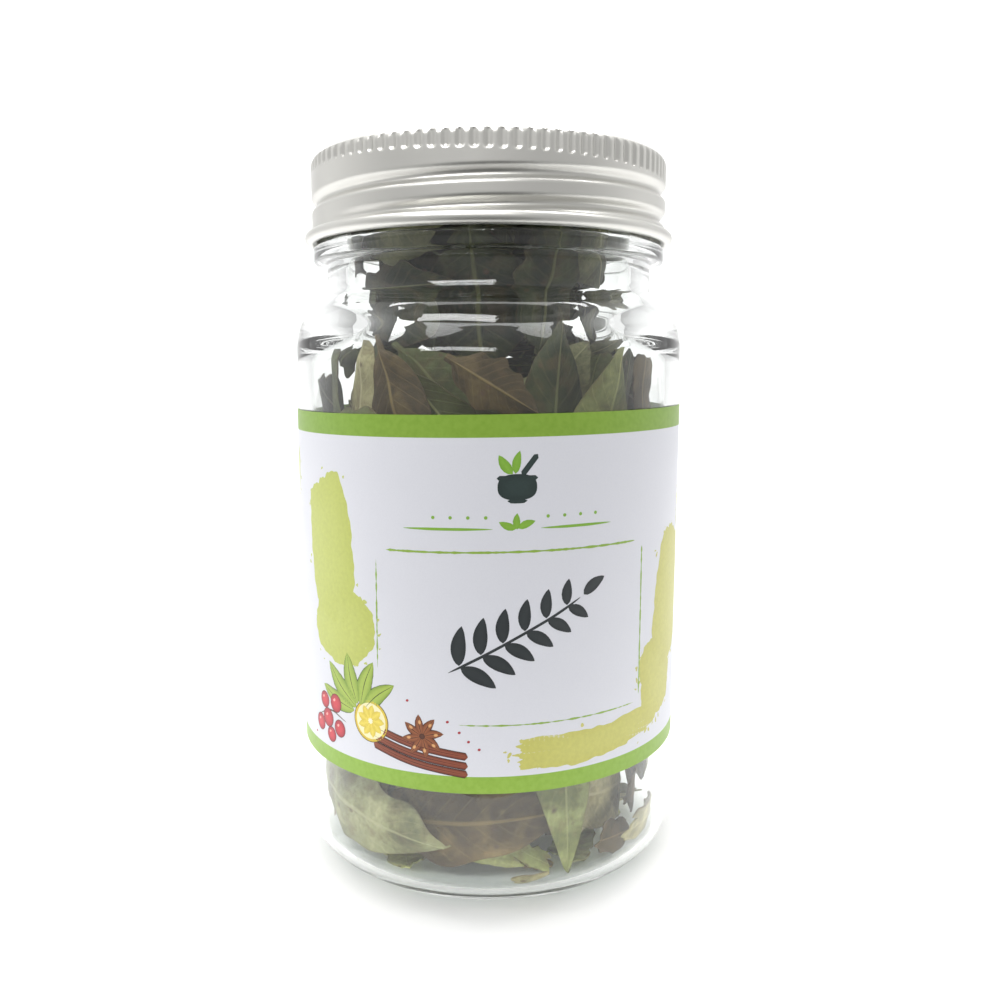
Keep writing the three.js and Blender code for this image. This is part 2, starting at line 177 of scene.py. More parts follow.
def joined(name: str, pieces: list[bpy.types.Object]) -> bpy.types.Object:
    """Joins pieces into one and names it."""
    select_only(pieces[0])
    for piece in pieces:
        piece.select_set(True)
    if len(pieces) > 1:
        bpy.ops.object.join()
    return named(name)


def dress(piece: bpy.types.Object, material: bpy.types.Material, smooth_deg: float = 35.0) -> None:
    """Gives a piece its only material and shades it smooth up to an angle."""
    select_only(piece)
    piece.data.materials.clear()
    piece.data.materials.append(material)
    bpy.ops.object.shade_smooth_by_angle(angle=math.radians(smooth_deg))


def on_ellipse(centre: Point, radii: Point, turn: float) -> Point:
    """Returns the point of an ellipse at a turn, in radians, from its first axis."""
    return (centre[0] + radii[0] * math.cos(turn), centre[1] + radii[1] * math.sin(turn))


def between(start: Point, end: Point, share: float) -> Point:
    """Returns the point at a share of the way from one point to another."""
    return (start[0] + (end[0] - start[0]) * share, start[1] + (end[1] - start[1]) * share)


def arc(centre: Point, radii: Point, from_deg: float, to_deg: float, steps: int) -> list[Point]:
    """Returns the points of part of an upright ellipse in a profile."""
    turns = np.radians(np.linspace(from_deg, to_deg, steps + 1))
    return [on_ellipse(centre, radii, turn) for turn in turns]


def straight(start: Point, end: Point, steps: int) -> list[Point]:
    """Returns the points of a straight run in a profile, without its first."""
    return [between(start, end, share) for share in np.linspace(0.0, 1.0, steps + 1)[1:]]


def cell_count(length: float, cell: float, least: int, most: int) -> int:
    """Returns how many cells of about a size a length is cut into."""
    return int(np.clip(length / cell, least, most))


def smoothstep(value: Numbers, low: float, high: float) -> Numbers:
    """Eases from 0 at the low limit to 1 at the high one, which may be the smaller number."""
    share = np.clip((value - low) / (high - low), 0.0, 1.0)
    return share * share * (3.0 - 2.0 * share)


class Draws:
    """Park-Miller generator: the same draws on every run, and as in the part's source."""

    def __init__(self, seed: int) -> None:
        """Starts the sequence."""
        self.state = seed

    def __call__(self, low: float, high: float) -> float:
        """Returns the next draw between two limits."""
        self.state = self.state * 16807 % 2147483647
        return low + (high - low) * self.state / 2147483647


# ---- Finishes ----------------------------------------------------------------------------------

LIMITS = ("From_Min", "From_Max", "To_Min", "To_Max")  # a MapRange node's, going in and out
COATING = {"Roughness": 0.46, "Coat_Weight": 0.12, "Coat_Roughness": 0.3}  # the label's sheen


def linear(hex_colour: str) -> tuple[float, float, float, float]:
    """Turns an sRGB hex colour such as 8cb43e into a linear RGBA colour."""
    channels = [int(hex_colour[i : i + 2], 16) / 255.0 for i in (0, 2, 4)]
    rgb = [c / 12.92 if c <= 0.04045 else ((c + 0.055) / 1.055) ** 2.4 for c in channels]
    return (rgb[0], rgb[1], rgb[2], 1.0)


def add_node(
    tree: bpy.types.NodeTree,
    kind: str,
    stops: tuple[tuple[float, str], ...] = (),
    **values: object,
) -> bpy.types.Node:
    """Adds a shader node, sets it and links it.

    Args:
        tree: the node tree that it joins.
        kind: the node's type without its ShaderNode prefix.
        stops: positions and hex colours of a colour ramp.
        values: the node's own properties, then its inputs by name or by number, as in_0. An
            input is given a value, the socket that feeds it, or a node to feed it from that
            node's first output in use.

    Returns:
        The new node.
    """
    node = tree.nodes.new("ShaderNode" + kind)
    for index, (position, colour) in enumerate(stops):
        elements = node.color_ramp.elements
        element = elements[index] if index < len(elements) else elements.new(position)
        element.position = position
        element.color = linear(colour)
    for key, value in values.items():
        if key in node.bl_rna.properties:
            setattr(node, key, value)
            continue
        socket = node.inputs[int(key[3:]) if key.startswith("in_") else key.replace("_", " ")]
        if isinstance(value, bpy.types.Node):
            value = next(output for output in value.outputs if output.enabled)
        if isinstance(value, bpy.types.NodeSocket):
            tree.links.new(value, socket)
        else:
            socket.default_value = value
    return node


def new_material(name: str) -> tuple[bpy.types.Material, Callable[..., bpy.types.Node]]:
    """Returns a new material, and add_node for its emptied node tree."""
    material = bpy.data.materials.new(name)
    material.use_nodes = True
    material.node_tree.nodes.clear()
    return material, partial(add_node, material.node_tree)


def per(size_mm: float) -> float:
    """Returns the scale of a texture whose features are of a size in mm."""
    return 1.0 / (size_mm * MM)


@dataclass(frozen=True)
class ClearGlass:
    """Soda-lime container glass, blown in a mould and fire-polished.

    It is clear with a trace of green, keeps a faint waviness from the mould, and its walls
    bend what lies behind them.
    """

    tint: str = "fafcfb"
    ior: float = 1.5
    wave_mm: float = 15.0
    wave_height_mm: float = 0.05

    def material(self) -> bpy.types.Material:
        """Returns the glass, which lets the lamps' light through to the leaves."""
        material, add = new_material("clear_soda_lime_glass")
        tint = linear(self.tint)
        place = add("TexCoord").outputs["Object"]
        swell = add("TexNoise", Vector=place, Scale=per(self.wave_mm), Detail=1.5)
        bump = add("Bump", Height=swell, Distance=self.wave_height_mm * MM, Strength=0.6)
        glass = add(
            "BsdfPrincipled", Base_Color=tint, Roughness=0.0, IOR=self.ior,
            Transmission_Weight=1.0, Normal=bump,
        )
        through = add("BsdfTransparent", Color=tint)
        path = add("LightPath").outputs
        shadow, diffuse = path["Is Shadow Ray"], path["Is Diffuse Ray"]
        soft = add("Math", operation="MAXIMUM", in_0=shadow, in_1=diffuse)
        mix = add("MixShader", in_0=soft, in_1=glass, in_2=through)
        add("OutputMaterial", Surface=mix)
        return material


@dataclass(frozen=True)
class SatinAluminium:
    """Lacquered aluminium sheet, drawn and rolled into a cap.

    The skirt keeps a very fine turned grain round its axis, which spreads its highlights, and
    handling leaves slightly duller patches.
    """

    colour: str = "d6d5d0"
    metallic: float = 0.84  # the clear lacquer over the metal scatters some light
    roughness: Point = (0.28, 0.42)
    grain_mm: float = 0.16  # the real grain is near 0.05 mm, and is coarser here so that it shows
    grain_depth_mm: float = 0.006
    patch_mm: float = 9.0

    def material(self) -> bpy.types.Material:
        """Returns the satin metal with its turned grain."""
        material, add = new_material("satin_rolled_aluminium")
        place = add("TexCoord").outputs["Object"]
        drawn = add("Mapping", Vector=place, Scale=(0.02, 0.02, 1.0))
        grain = add("TexNoise", Vector=drawn, Scale=per(self.grain_mm), Detail=3.0)
        patches = add("TexNoise", Vector=place, Scale=per(self.patch_mm), Detail=3.0)
        dullest = self.roughness[1]
        smear = add("MapRange", Value=patches, To_Min=self.roughness[0], To_Max=dullest)
        bump = add("Bump", Height=grain, Distance=self.grain_depth_mm * MM, Strength=0.5)
        metal = add(
            "BsdfPrincipled", Base_Color=linear(self.colour), Metallic=self.metallic,
            Roughness=smear, Normal=bump,
        )
        add("OutputMaterial", Surface=metal)
        return material


@dataclass(frozen=True)
class FoamLiner:
    """Expanded polyethylene foam sheet, die-cut: off-white and dull, with fine closed cells."""

    colour: str = "e8e6df"
    cell_colour: str = "d6d3ca"
    cell_mm: float = 0.35
    cell_depth_mm: float = 0.05

    def material(self) -> bpy.types.Material:
        """Returns the foam with its cells."""
        material, add = new_material("expanded_polyethylene_foam")
        place = add("TexCoord").outputs["Object"]
        cells = add("TexVoronoi", Vector=place, Scale=per(self.cell_mm))
        shade = add("ValToRGB", ((0.0, self.cell_colour), (0.6, self.colour)), Fac=cells)
        bump = add("Bump", Height=cells, Distance=self.cell_depth_mm * MM, Strength=0.5)
        foam = add("BsdfPrincipled", Base_Color=shade, Roughness=0.8, Normal=bump)
        add("OutputMaterial", Surface=foam)
        return material


@dataclass(frozen=True)
class LabelPaper:
    """Semi-gloss coated label paper, flexo-printed with its two edge bands.

    The coating gives a soft sheen over a faint fibre grain, and the solid bands show the
    slight mottle of a flexo print.
    """

    height_mm: float
    top_band_mm: float
    bottom_band_mm: float
    white: str = "dedfe5"
    fibre: str = "d8d9e0"
    top_greens: tuple[str, str] = ("7da130", "86aa3a")
    bottom_greens: tuple[str, str] = ("88ad3b", "92b646")
    fibre_mm: float = 0.25
    fibre_depth_mm: float = 0.006
    mottle_mm: float = 0.9

    def material(self) -> bpy.types.Material:
        """Returns the paper, its bands set out on the label's own UV map."""
        material, add = new_material("coated_label_paper")
        shares = add("UVMap", uv_map="UVMap")
        place = add("TexCoord").outputs["Object"]
        rise = add("SeparateXYZ", Vector=shares).outputs[1]
        fibre = add("TexNoise", Vector=place, Scale=per(self.fibre_mm), Detail=4.0)
        mottle = add("TexNoise", Vector=place, Scale=per(self.mottle_mm), Detail=5.0)
        low, high = linear(self.fibre), linear(self.white)
        colour = add("Mix", data_type="RGBA", in_0=fibre, in_6=low, in_7=high)
        for side, edge, greens in (
            ("GREATER_THAN", 1.0 - self.top_band_mm / self.height_mm, self.top_greens),
            ("LESS_THAN", self.bottom_band_mm / self.height_mm, self.bottom_greens),
        ):
            band = add("Math", operation=side, in_0=rise, in_1=edge)
            green = add("ValToRGB", tuple(zip((0.3, 0.62), greens)), Fac=mottle)
            colour = add("Mix", data_type="RGBA", in_0=band, in_6=colour, in_7=green)
        bump = add("Bump", Height=fibre, Distance=self.fibre_depth_mm * MM, Strength=0.6)
        paper = add("BsdfPrincipled", Base_Color=colour, Normal=bump, **COATING)
        add("OutputMaterial", Surface=paper)
        return material


@dataclass(frozen=True)
class PrintedInk:
    """Flexo ink on the coated paper: thin, slightly mottled, with the paper's own sheen."""

    mottle_mm: float = 0.6
    wash: Point = (0.86, 1.1)

    def material(self) -> bpy.types.Material:
        """Returns the ink, its colour read from the print's own attribute."""
        material, add = new_material("flexo_printed_ink")
        ink = add("Attribute", attribute_name="ink").outputs["Color"]
        place = add("TexCoord").outputs["Object"]
        mottle = add("TexNoise", Vector=place, Scale=per(self.mottle_mm), Detail=5.0)
        wash = add("MapRange", Value=mottle, To_Min=self.wash[0], To_Max=self.wash[1])
        shade = add("VectorMath", operation="SCALE", in_0=ink, Scale=wash)
        print_ink = add("BsdfPrincipled", Base_Color=shade, **COATING)
        add("OutputMaterial", Surface=print_ink)
        return material


class Tone(Enum):
    """How far a leaf has faded in drying; the value names its slot."""

    DARK = "leaf_dark"
    GREY = "leaf_grey"
    OLIVE = "leaf_olive"
    BROWN = "leaf_brown"
    TAN = "leaf_tan"


@dataclass(frozen=True)
class DriedLeaf:
    """Air-dried curry leaf: brittle and dull, with a light-coloured raised midrib and fine side
    veins.

    Drying leaves it mottled, from dark olive to tan, with rusty spots and a faint waxy sheen
    on the upper face.
    """

    tone: Tone
    deep: str
    body: str
    faded: str
    vein: str
    spot: str = "5a4634"
    rust: str = "6e5a3e"
    # Painted light and shade: colour factors at 20 and 75 mm up, floor-lit low, cap-shaded high
    painted_light: Point = (1.12, 0.76)  # painted light and shade, by height
    patch_mm: float = 7.0
    cloud_mm: float = 3.0  # browned clouds
    net_mm: float = 1.0  # the net of fine veins
    grain_mm: float = 0.8
    spot_mm: float = 4.2  # from one rusty spot, where the leaf was bruised, to the next
    vein_strength: float = 0.45
    vein_pairs: float = 11.0
    vein_slope: float = -0.42
    relief_mm: float = 0.12

    def material(self) -> bpy.types.Material:
        """Returns the leaf, its veins set out on the blade's own UV map."""
        material, add = new_material("air_dried_curry_" + self.tone.value)
        shares = add("UVMap", uv_map="UVMap")
        place = add("TexCoord").outputs["Object"]
        sideways, along = add("SeparateXYZ", Vector=shares).outputs[:2]
        height = add("SeparateXYZ", Vector=place).outputs[2]
        age = add("Attribute", attribute_name="age").outputs["Fac"]
        patch = add("TexNoise", Vector=place, Scale=per(self.patch_mm), Detail=4.0, Distortion=0.6)
        fine = add("TexNoise", Vector=place, Scale=per(self.grain_mm), Detail=6.0)
        cloud = add("TexNoise", Vector=place, Scale=per(self.cloud_mm), Detail=3.0)
        edges = {"feature": "DISTANCE_TO_EDGE", "Vector": place, "Scale": per(self.net_mm)}
        net = add("TexVoronoi", **edges)
        cells = add("TexVoronoi", Vector=place, Scale=per(self.spot_mm))
        # Distance from the midrib, 0 at the rib and 0.5 at the edge.
        centred = add("Math", operation="SUBTRACT", in_0=sideways, in_1=0.5)
        off = add("Math", operation="ABSOLUTE", in_0=centred)
        slope = add("Math", operation="MULTIPLY_ADD", in_0=off, in_1=self.vein_slope, in_2=along)
        turns = add("Math", operation="MULTIPLY", in_0=slope, in_1=self.vein_pairs * math.tau)
        ripple = add("Math", operation="COSINE", in_0=turns)
        spread, rusted, netted, grain, painted_light, spots, rib, side, rim = (
            add("MapRange", Value=value, **dict(zip(LIMITS, limits)))
            for value, *limits in (
                (patch, 0.3, 0.7, 0.2, 0.8),
                (cloud, 0.5, 0.66, 0.0, 0.42),
                (net, 0.0, 0.12, 1.07, 1.0),
                (fine, 0.3, 0.7, 0.8, 1.13),
                # painted light and shade by height: brighter low in the jar, dimmer towards the
                # neck
                (height, 0.02, 0.075, *self.painted_light),
                (cells, 0.07, 0.15, 0.8, 0.0),
                (off, 0.01, 0.028, 1.0, 0.0),
                (ripple, 0.93, 0.995, 0.0, 0.3),
                (off, 0.455, 0.5, 0.0, 0.5),  # the outermost part of the edge is browned
            )
        )
        wear = add("Math", operation="MULTIPLY_ADD", in_0=age, in_1=0.42, in_2=-0.21)
        mixed = add("Math", operation="ADD", in_0=spread, in_1=wear)
        stops = ((0.28, self.deep), (0.5, self.body), (0.74, self.faded))
        broad = add("ValToRGB", stops, Fac=mixed)
        brown = linear(self.rust)
        colour = add("Mix", data_type="RGBA", in_0=rusted, in_6=broad, in_7=brown)
        # Random grain, times the painted light and shade by height, then the vein net.
        level = add("Math", operation="MULTIPLY", in_0=grain, in_1=painted_light)
        shade = add("Math", operation="MULTIPLY", in_0=level, in_1=netted)
        colour = add("VectorMath", operation="SCALE", in_0=colour, Scale=shade)
        veins = add("Math", operation="MAXIMUM", in_0=rib, in_1=side)
        faint = add("Math", operation="MULTIPLY", in_0=veins, in_1=self.vein_strength)
        for share, over in ((spots, self.spot), (faint, self.vein), (rim, self.spot)):
            colour = add("Mix", data_type="RGBA", in_0=share, in_6=colour, in_7=linear(over))
        relief = add("Math", operation="MULTIPLY_ADD", in_0=veins, in_1=0.8, in_2=fine)
        bump = add("Bump", Height=relief, Distance=self.relief_mm * MM, Strength=0.7)
        dull = {"Roughness": 0.68, "Specular_IOR_Level": 0.35}
        blade = add("BsdfPrincipled", Base_Color=colour, Normal=bump, **dull)
        add("OutputMaterial", Surface=blade)
        return material


@dataclass(frozen=True)
class MattePaperSweep:
    """Seamless background paper: plain, whitish and dull, so that it only takes a soft shadow."""

    colour: str = "eeeeee"
    tooth_mm: float = 1.5
    tooth_depth_mm: float = 0.02

    def material(self) -> bpy.types.Material:
        """Returns the paper with its faint tooth."""
        material, add = new_material("matte_background_paper")
        place = add("TexCoord").outputs["Object"]
        tooth = add("TexNoise", Vector=place, Scale=per(self.tooth_mm), Detail=2.0)
        bump = add("Bump", Height=tooth, Distance=self.tooth_depth_mm * MM, Strength=0.2)
        sheet = add("BsdfPrincipled", Base_Color=linear(self.colour), Roughness=0.9, Normal=bump)
        add("OutputMaterial", Surface=sheet)
        return material


# ---- Screw thread ------------------------------------------------------------------------------

THREAD_LEAD = 25.4 / 6.0  # mm, six threads to the inch
THREAD_FADE = 0.7  # mm of rise over which a thread runs out
GROOVE_FRONT = 112.1  # height of the cap's thread at the front, half a lead over the jar's


def thread_offset(
    angle: np.ndarray, height: np.ndarray, front_height: float, span: Point
) -> tuple[np.ndarray, np.ndarray]:
    """Finds the nearest turn of a right-hand thread.

    Args:
        angle: angles from +X, in radians.
        height: heights, in mm.
        front_height: the thread's height at the front.
        span: heights of its two ends.

    Returns:
        The rise from the nearest turn to each height, and the share of the thread's depth there.
    """
    turn = np.degrees(angle) / 360.0 + 0.25
    nearest = np.round((height - front_height) / THREAD_LEAD - turn)
    middle = front_height + THREAD_LEAD * (turn + nearest)
    strength = smoothstep(middle, span[0], span[0] + THREAD_FADE) * (
        1.0 - smoothstep(middle, span[1] - THREAD_FADE, span[1])
    )
    return height - middle, strength


# ---- Sub-assemblies ----------------------------------------------------------------------------


@dataclass
class GlassJar:
    """The blown jar: round heel over a pushed-up base, drawn-in shoulder, collar and thread."""

    body_radius: float = 33.0
    wall: float = 2.4
    floor: float = 2.8
    push_up: float = 0.6  # how much higher the floor is in its middle
    punt: float = 1.4  # height of the base's underside
    rest_ring: Point = (20.5, 23.3)
    heel_height: float = 7.4
    shoulder_base: float = 87.4
    shoulder_radii: Point = (5.0, 8.0)
    neck_radius: float = 27.6
    neck_bore: float = 24.2
    neck_start: float = 98.0
    collar_radius: float = 29.8
    collar: Point = (101.4, 104.1)
    lip: float = 116.6
    room_shoulder: Point = (85.5, 98.5)
    room_heel: Point = (4.4, 4.0)
    thread_front: float = GROOVE_FRONT - THREAD_LEAD / 2.0
    thread_span: Point = (108.6, 115.1)
    thread_crest: float = 28.9
    rib_halves: Point = (0.4, 1.05)  # half the thread's width at its crest and at its foot
    steps: int = 192

    def room_radius(self, height: Numbers) -> Numbers:
        """Returns the inner radius at a height: round heel, straight wall, drawn-in neck."""
        inside = self.body_radius - self.wall
        narrowing = smoothstep(height, *self.room_shoulder)
        across, up = self.room_heel
        drop = np.clip((self.floor + up - height) / up, 0.0, 1.0)
        heel = across * (1.0 - np.sqrt(1.0 - drop * drop))
        return inside - heel - (inside - self.neck_bore) * narrowing

    def outside(self) -> list[Point]:
        """Returns the outer profile, from under the base to the lip."""
        heel_radii = (self.body_radius - self.rest_ring[1], self.heel_height)
        shoulder = (self.body_radius - self.shoulder_radii[0], self.shoulder_base)
        neck, collar = self.neck_radius, self.collar_radius
        low, high = self.collar
        points = [(0.0, self.punt), (12.0, self.punt), (self.rest_ring[0] - 3.0, self.punt)]
        points += arc((self.rest_ring[0] - 2.2, 0.9), (0.6, 0.5), 90.0, 30.0, 3)
        points += arc((self.rest_ring[0] + 0.6, 0.62), (1.9, 0.6), 195.0, 262.0, 4)
        points += arc((self.rest_ring[1], self.heel_height), heel_radii, -90.0, 0.0, 16)
        points += straight(points[-1], (self.body_radius, self.shoulder_base), 6)
        points += arc(shoulder, self.shoulder_radii, 0.0, 66.0, 12)[1:]
        points += [(29.35, 95.45), (28.6, 95.95), (28.05, 96.6), (27.72, 97.3)]
        points += [(neck, self.neck_start), (neck, 99.4), (neck + 0.04, 100.5)]
        points += arc((neck + 0.9, low - 0.1), (0.85, 0.75), 170.0, 95.0, 4)[:-1]
        points += arc((collar - 0.55, low + 1.0), (0.55, 0.6), -80.0, 0.0, 5)
        points += arc((collar - 0.5, high - 0.1), (0.5, 0.5), 0.0, 85.0, 5)
        points += arc((neck + 0.4, high + 0.75), (0.35, 0.4), 265.0, 180.0, 3)
        points += straight((neck, high + 0.9), (neck, self.lip - 1.0), 36)
        points += arc((neck - 1.0, self.lip - 1.0), (1.0, 1.0), 15.0, 90.0, 5)
        return points

    def inside(self) -> list[Point]:
        """Returns the inner profile, from the lip to the middle of the floor."""
        bore, up = self.neck_bore, self.room_heel[1]
        points = arc((bore + 0.9, self.lip - 0.9), (0.9, 0.9), 90.0, 180.0, 5)
        points += straight(points[-1], (bore, self.room_shoulder[1]), 6)
        low, high = self.room_shoulder
        for share in np.linspace(1.0, 0.0, 22)[1:]:
            # Between the room's own curve and one that starts and ends more gently.
            gentle = share**3 * (share * (6.0 * share - 15.0) + 10.0)
            narrowing = (gentle + share * share * (3.0 - 2.0 * share)) / 2.0
            radius = self.body_radius - self.wall
            radius -= (radius - bore) * narrowing
            points.append((radius, low + (high - low) * float(share)))
        points += straight(points[-1], (points[-1][0], self.floor + up + 0.4), 6)
        for turn in np.radians(np.linspace(0.0, 90.0, 15)):
            height = self.floor + up * (1.0 - math.sin(turn))
            points.append((float(self.room_radius(height)), height))
        points += [(20.0, self.floor + 0.08), (14.0, self.floor + 0.32), (7.0, self.floor + 0.52)]
        points.append((0.0, self.floor + self.push_up))
        return points

    def build(self) -> bpy.types.Object:
        """Returns the glass, its thread raised round the neck."""
        piece = turn_profile("glass_jar", self.outside() + self.inside(), self.steps)
        points = coordinates(piece)
        radius, angle, height = polar(points)
        rise, strength = thread_offset(angle, height, self.thread_front, self.thread_span)
        rib = 1.0 - smoothstep(np.abs(rise), *self.rib_halves)
        outer = (radius > self.neck_radius - 0.01) & (height > self.collar[1] + 0.8)
        swell = np.where(outer, (self.thread_crest - self.neck_radius) * rib * strength, 0.0)
        points[:, :2] *= (1.0 + swell / np.maximum(radius, 1.0))[:, None]
        move_to(piece, points)
        dress(piece, ClearGlass().material(), 50.0)
        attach(piece, "jar")
        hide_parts("jar")
        return piece


@dataclass
class ScrewCap:
    """One-piece aluminium cap: knurled band, pressed thread and outward rolled edge."""

    top: float = 118.9
    radius: float = 29.9
    sheet: float = 0.5
    skirt: float = 106.9
    roll_radius: float = 1.03
    knurl_count: int = 92
    knurl_base: float = 115.3
    knurl_slant: float = 0.9  # the slots' lower ends lie this much lower at +X, higher at -X
    knurl_width: float = 1.15
    knurl_depth: float = 0.36
    steps_per_knurl: int = 8
    groove_front: float = GROOVE_FRONT
    groove_span: Point = (107.1, 114.2)
    groove_depth: float = 0.9
    groove_width: float = 2.8

    def profile(self) -> list[Point]:
        """Returns the shell's section, from the top's middle round the edge and back."""
        inner = self.radius - self.sheet
        roll = (self.radius + 0.22, self.skirt - self.roll_radius)
        points = [(0.0, self.top), (14.0, self.top), (25.9, self.top)]
        points += [(26.3, self.top - 0.05), (26.7, self.top - 0.14), (27.2, self.top - 0.18)]
        points += [(27.9, self.top - 0.18)]
        points += arc((self.radius - 1.35, self.top - 1.53), (1.35, 1.35), 84.0, 0.0, 9)
        points += straight(points[-1], (self.radius, self.knurl_base - 1.2), 22)
        points += straight(points[-1], (self.radius, self.skirt + 0.1), 40)
        points += arc(roll, (self.roll_radius, self.roll_radius), 96.0, -150.0, 20)
        points += straight(points[-1], (inner, self.skirt - 0.6), 1)
        points += straight(points[-1], (inner, self.knurl_base - 0.4), 24)
        points += [(inner, self.top - self.sheet - 0.6), (inner - 0.6, self.top - self.sheet)]
        points += [(14.0, self.top - self.sheet), (0.0, self.top - self.sheet)]
        return points

    def groove(self, angle: np.ndarray, height: np.ndarray) -> np.ndarray:
        """Returns the depth of the pressed thread."""
        rise, strength = thread_offset(angle, height, self.groove_front, self.groove_span)
        offset = np.clip(np.abs(rise) / (self.groove_width / 2.0), 0.0, 1.0)
        return self.groove_depth * strength * np.cos(offset * math.pi / 2.0) ** 2

    def slots(self, angle: np.ndarray, height: np.ndarray) -> np.ndarray:
        """Returns the depth of the knurled slots, whose lower ends are round."""
        pitch = math.tau / self.knurl_count
        aside = (angle / pitch - np.round(angle / pitch)) * pitch * self.radius
        half = self.knurl_width / 2.0
        base = self.knurl_base - self.knurl_slant * np.cos(angle)
        below = np.minimum(height - base - half, 0.0)
        return self.knurl_depth * (1.0 - smoothstep(np.hypot(aside, below), 0.25, half + 0.05))

    def build(self) -> bpy.types.Object:
        """Returns the cap's shell, its thread and slots pressed in."""
        steps = self.knurl_count * self.steps_per_knurl
        piece = turn_profile("screw_cap", self.profile(), steps)
        points = coordinates(piece)
        radius, angle, height = polar(points)
        walls = (radius > self.radius - self.sheet - 0.01) & (height > self.skirt - 0.2)
        pressed = np.where(walls & (height < self.knurl_base), self.groove(angle, height), 0.0)
        pressed = pressed * smoothstep(height, self.skirt - 0.1, self.skirt + 0.5)
        fresh = radius - pressed
        outer = (radius > self.radius - self.sheet / 2.0) & (height > self.skirt)
        cut = np.minimum(fresh, self.radius - self.slots(angle, height))
        fresh = np.where(outer & (height > self.knurl_base - 1.5), cut, fresh)
        points[:, :2] *= (fresh / np.maximum(radius, 1e-6))[:, None]
        move_to(piece, points)
        dress(piece, SatinAluminium().material(), 60.0)
        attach(piece, "cap")
        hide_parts("cap")
        return piece


@dataclass
class CapLiner:
    """Foam disc in the cap, marked with a ring where the jar's lip presses it."""

    radius: float = 28.8
    bottom: float = 116.9
    thickness: float = 1.2
    lip_ring: Point = (24.6, 27.2)
    ring_depth: float = 0.12

    def build(self) -> bpy.types.Object:
        """Returns the liner."""
        top = self.bottom + self.thickness
        mark = self.bottom + self.ring_depth
        low, high = self.lip_ring
        points = [(0.0, self.bottom), (low - 0.3, self.bottom), (low, mark), (high, mark)]
        points += [(high + 0.3, self.bottom)]
        points += arc((self.radius - 0.2, self.bottom + 0.2), (0.2, 0.2), -90.0, 0.0, 3)
        points += arc((self.radius - 0.2, top - 0.2), (0.2, 0.2), 0.0, 90.0, 3)
        points.append((0.0, top))
        piece = turn_profile("foam_liner", points, 96)
        dress(piece, FoamLiner().material())
        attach(piece, "liner")
        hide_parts("cap_liner")
        return piece


@dataclass
class PaperLabel:
    """Wrap-round paper label, stuck on slightly out of true, with a narrow gap at the back."""

    jar_radius: float = 33.0
    glue: float = 0.03
    paper: float = 0.11
    bottom: float = 21.0
    height: float = 57.1
    skew: float = 0.012  # rise per mm towards +X
    gap_deg: float = 7.5
    top_band: float = 3.3
    bottom_band: float = 2.7

    @property
    def face(self) -> float:
        """Radius of the printed face."""
        return self.jar_radius + self.glue + self.paper

    @property
    def width(self) -> float:
        """Length of the label round the jar, at its face."""
        return math.radians(360.0 - self.gap_deg) * self.face

    def wrap(self, across: np.ndarray, up: np.ndarray, proud: float = 0.0) -> np.ndarray:
        """Lays points of the flat label on the jar.

        Args:
            across: mm from the front's middle, towards +X.
            up: mm above the label's lower edge.
            proud: mm in front of the printed face.

        Returns:
            The points on the jar, in mm.
        """
        angle = across / self.face
        radius = self.face + proud
        side = radius * np.sin(angle)
        rise = self.bottom + up + self.skew * side
        return np.column_stack([side, -radius * np.cos(angle), rise])

    def build(self) -> bpy.types.Object:
        """Returns the label's paper."""

        def place(across: np.ndarray, up: np.ndarray) -> np.ndarray:
            return self.wrap((across - 0.5) * self.width, up * self.height, -self.paper)

        piece = laid_grid("paper_label", 264, 16, place)
        thicken(piece, self.paper, 1.0)
        dress(piece, LabelPaper(self.height, self.top_band, self.bottom_band).material())
        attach(piece, "jar")
        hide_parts("label")
        return piece


@dataclass(frozen=True)
class Ink:
    """A flat-printed colour: inside hex, edge hex, and how far proud of the paper it lies."""

    inside: str
    edge: str
    layer: int = 1


